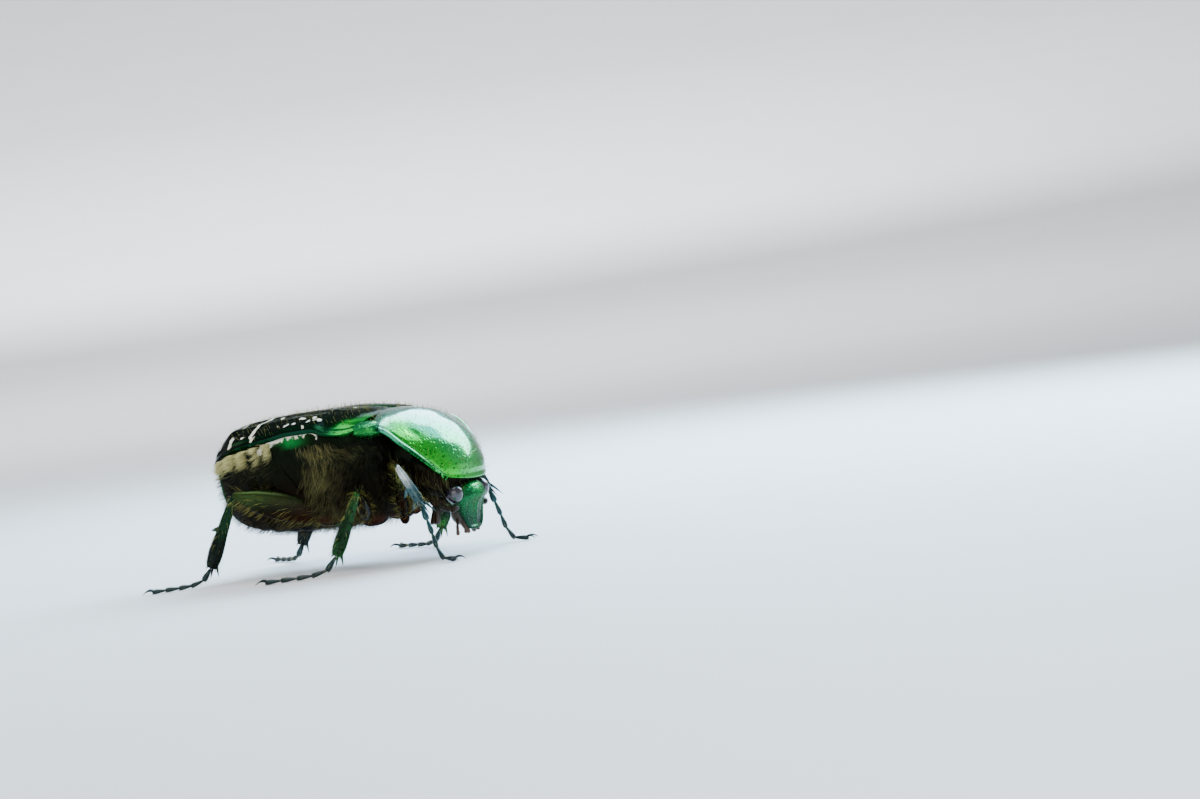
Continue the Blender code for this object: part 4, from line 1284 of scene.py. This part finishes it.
PHOTO_CENTRE = Vector((0.86, 0, 4.6)) * MILLIMETRE
AZIMUTH, ELEVATION, ROLL = math.radians(30), math.radians(3), math.radians(8)
CAMERA_DISTANCE = 191.6 * MILLIMETRE
AIM_ACROSS, AIM_UP = 0.0740, 0.0253

# Lamps round the beetle: place, target, length, width, power, colour and the lie of the length.
LAMPS = {
    "sky_box": ((22, 98, 78), (4, 0, 6), 128, 66, 0.6, (0.58, 0.82, 1.0)),
    "blue_box": ((20, 60, 112), (4, 0, 7), 120, 30, 0.09, (0.2, 0.55, 1.0)),
    "top_box": ((0, -20, 130), (0, 0, 4), 90, 90, 0.14, (0.95, 0.97, 1.0)),
    "front_box": ((60, -140, 60), (1, 0, 4), 130, 90, 0.07, (1.0, 0.98, 0.94), (1, 1, 0)),
    "rear_box": ((-120, -10, 60), (0, 0, 5), 90, 60, 0.05, (0.95, 0.98, 1.0), (0, 1, 0)),
}
SKY_COLOUR, SKY_STRENGTH = (0.9, 0.94, 1.0, 1), 0.6

# The floor and the wall that it rises into, as (radius, height) in metres.
FLOOR_PROFILE = [(0.0, 0.0), (0.3, 0.0), (0.5, 0.008), (0.75, 0.035), (1.0, 0.09), (1.25, 0.19),
                 (1.45, 0.34), (1.56, 0.56), (1.6, 0.85)]

BACKDROP_COLOUR = (0.95, 0.97, 1.0)
BACKDROP_TURNS = (30, 120, 210, 300)
# Rings of lamps that light floor and wall: radius, height, downward tilt, size and power.
BACKDROP_RINGS = {"near": (190, 150, 1.1, 160, 0.22), "inner": (360, 230, 1.0, 240, 1.1),
                  "outer": (600, 330, 0.2, 300, 5.0)}


def build_camera():
    """The photo's view: low, from the right front, turned a little with the beetle."""
    a, e = AZIMUTH, ELEVATION
    right = Vector((math.cos(a), math.sin(a), 0))
    up = Vector((-math.sin(a) * math.sin(e), math.cos(a) * math.sin(e), math.cos(e)))
    back = Vector((math.sin(a) * math.cos(e), -math.cos(a) * math.cos(e), math.sin(e)))
    turned_right = right * math.cos(ROLL) - up * math.sin(ROLL)
    turned_up = right * math.sin(ROLL) + up * math.cos(ROLL)
    aim = (-back + turned_right * AIM_ACROSS + turned_up * AIM_UP).normalized()
    across = (turned_right - aim * turned_right.dot(aim)).normalized()
    upward = across.cross(aim)
    data = bpy.data.cameras.new("photo_view")
    data.lens = 100
    data.sensor_width = 36
    data.clip_start = 0.002
    data.clip_end = 20
    camera = put("photo_view", data)
    camera.matrix_world = Matrix.Translation(PHOTO_CENTRE + back * CAMERA_DISTANCE) @ Matrix(
        (across, upward, -aim)).transposed().to_4x4()
    bpy.context.scene.camera = camera


def softbox(name, place, target, length, width, power, colour, lie=(1, 0, 0)):
    """A rectangular lamp at a place, facing the target, with its length along the lie."""
    data = bpy.data.lights.new(name, "AREA")
    data.shape = "RECTANGLE"
    data.size, data.size_y = length * MILLIMETRE, width * MILLIMETRE
    data.energy = power
    data.color = colour
    place, target = Vector(place) * MILLIMETRE, Vector(target) * MILLIMETRE
    back = (place - target).normalized()
    along = (Vector(lie) - back * back.dot(Vector(lie))).normalized()
    turn = Matrix((along, back.cross(along), back)).transposed().to_4x4()
    put(name, data).matrix_world = Matrix.Translation(place) @ turn


def build_floor():
    shape = bmesh.new()
    corners = [shape.verts.new((radius, 0, height)) for radius, height in FLOOR_PROFILE]
    edges = [shape.edges.new(pair) for pair in zip(corners, corners[1:])]
    bmesh.ops.spin(shape, geom=corners + edges, cent=(0, 0, 0), axis=(0, 0, 1),
                   angle=2 * math.pi, steps=96, use_merge=True)
    bmesh.ops.remove_doubles(shape, verts=shape.verts, dist=0.0001)
    bmesh.ops.recalc_face_normals(shape, faces=shape.faces)
    data = bpy.data.meshes.new("floor")
    shape.to_mesh(data)
    shape.free()
    data.shade_smooth()
    data.materials.append(floor_finish())
    put("floor", data)


def build_lamps():
    for name, lamp in LAMPS.items():
        softbox(name, *lamp)
    for turn in BACKDROP_TURNS:
        outward = Vector((math.cos(math.radians(turn)), math.sin(math.radians(turn)), 0))
        for ring, (radius, height, dip, size, power) in BACKDROP_RINGS.items():
            place = outward * radius + Vector((0, 0, height))
            aim = place + outward - Vector((0, 0, dip))
            softbox(f"backdrop_{ring}_{turn}", place, aim, size, size, power,
                    BACKDROP_COLOUR, outward.cross(Vector((0, 0, 1))))
    world = bpy.data.worlds.new("studio")
    world.use_nodes = True
    sky = world.node_tree.nodes["Background"].inputs
    sky["Color"].default_value = SKY_COLOUR
    sky["Strength"].default_value = SKY_STRENGTH
    bpy.context.scene.world = world


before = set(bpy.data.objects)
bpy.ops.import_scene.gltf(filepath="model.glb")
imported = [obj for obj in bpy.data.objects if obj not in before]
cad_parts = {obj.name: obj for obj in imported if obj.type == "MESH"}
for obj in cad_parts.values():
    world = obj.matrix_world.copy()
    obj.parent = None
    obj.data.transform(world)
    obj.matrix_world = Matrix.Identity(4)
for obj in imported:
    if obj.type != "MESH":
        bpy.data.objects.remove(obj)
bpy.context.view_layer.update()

PITS = build_pits_group()
SHIMMER = build_shimmer_group()
CHALK = build_chalk_group()

FINISH = {name: metal_cuticle(name, **look) for name, look in CUTICLES.items()}
FINISH["compound_eye"] = eye_finish("compound_eye")
FINISH.update({name: hair_finish(name, *tints) for name, tints in HAIR_TINTS.items()})

build_wing_cases()
build_pronotum()
build_scutellum()
build_shoulder_plates()
build_trunk()
build_tail_plate()
build_head()
build_feelers()
build_legs()
grow_hair()
build_camera()
build_floor()
build_lamps()
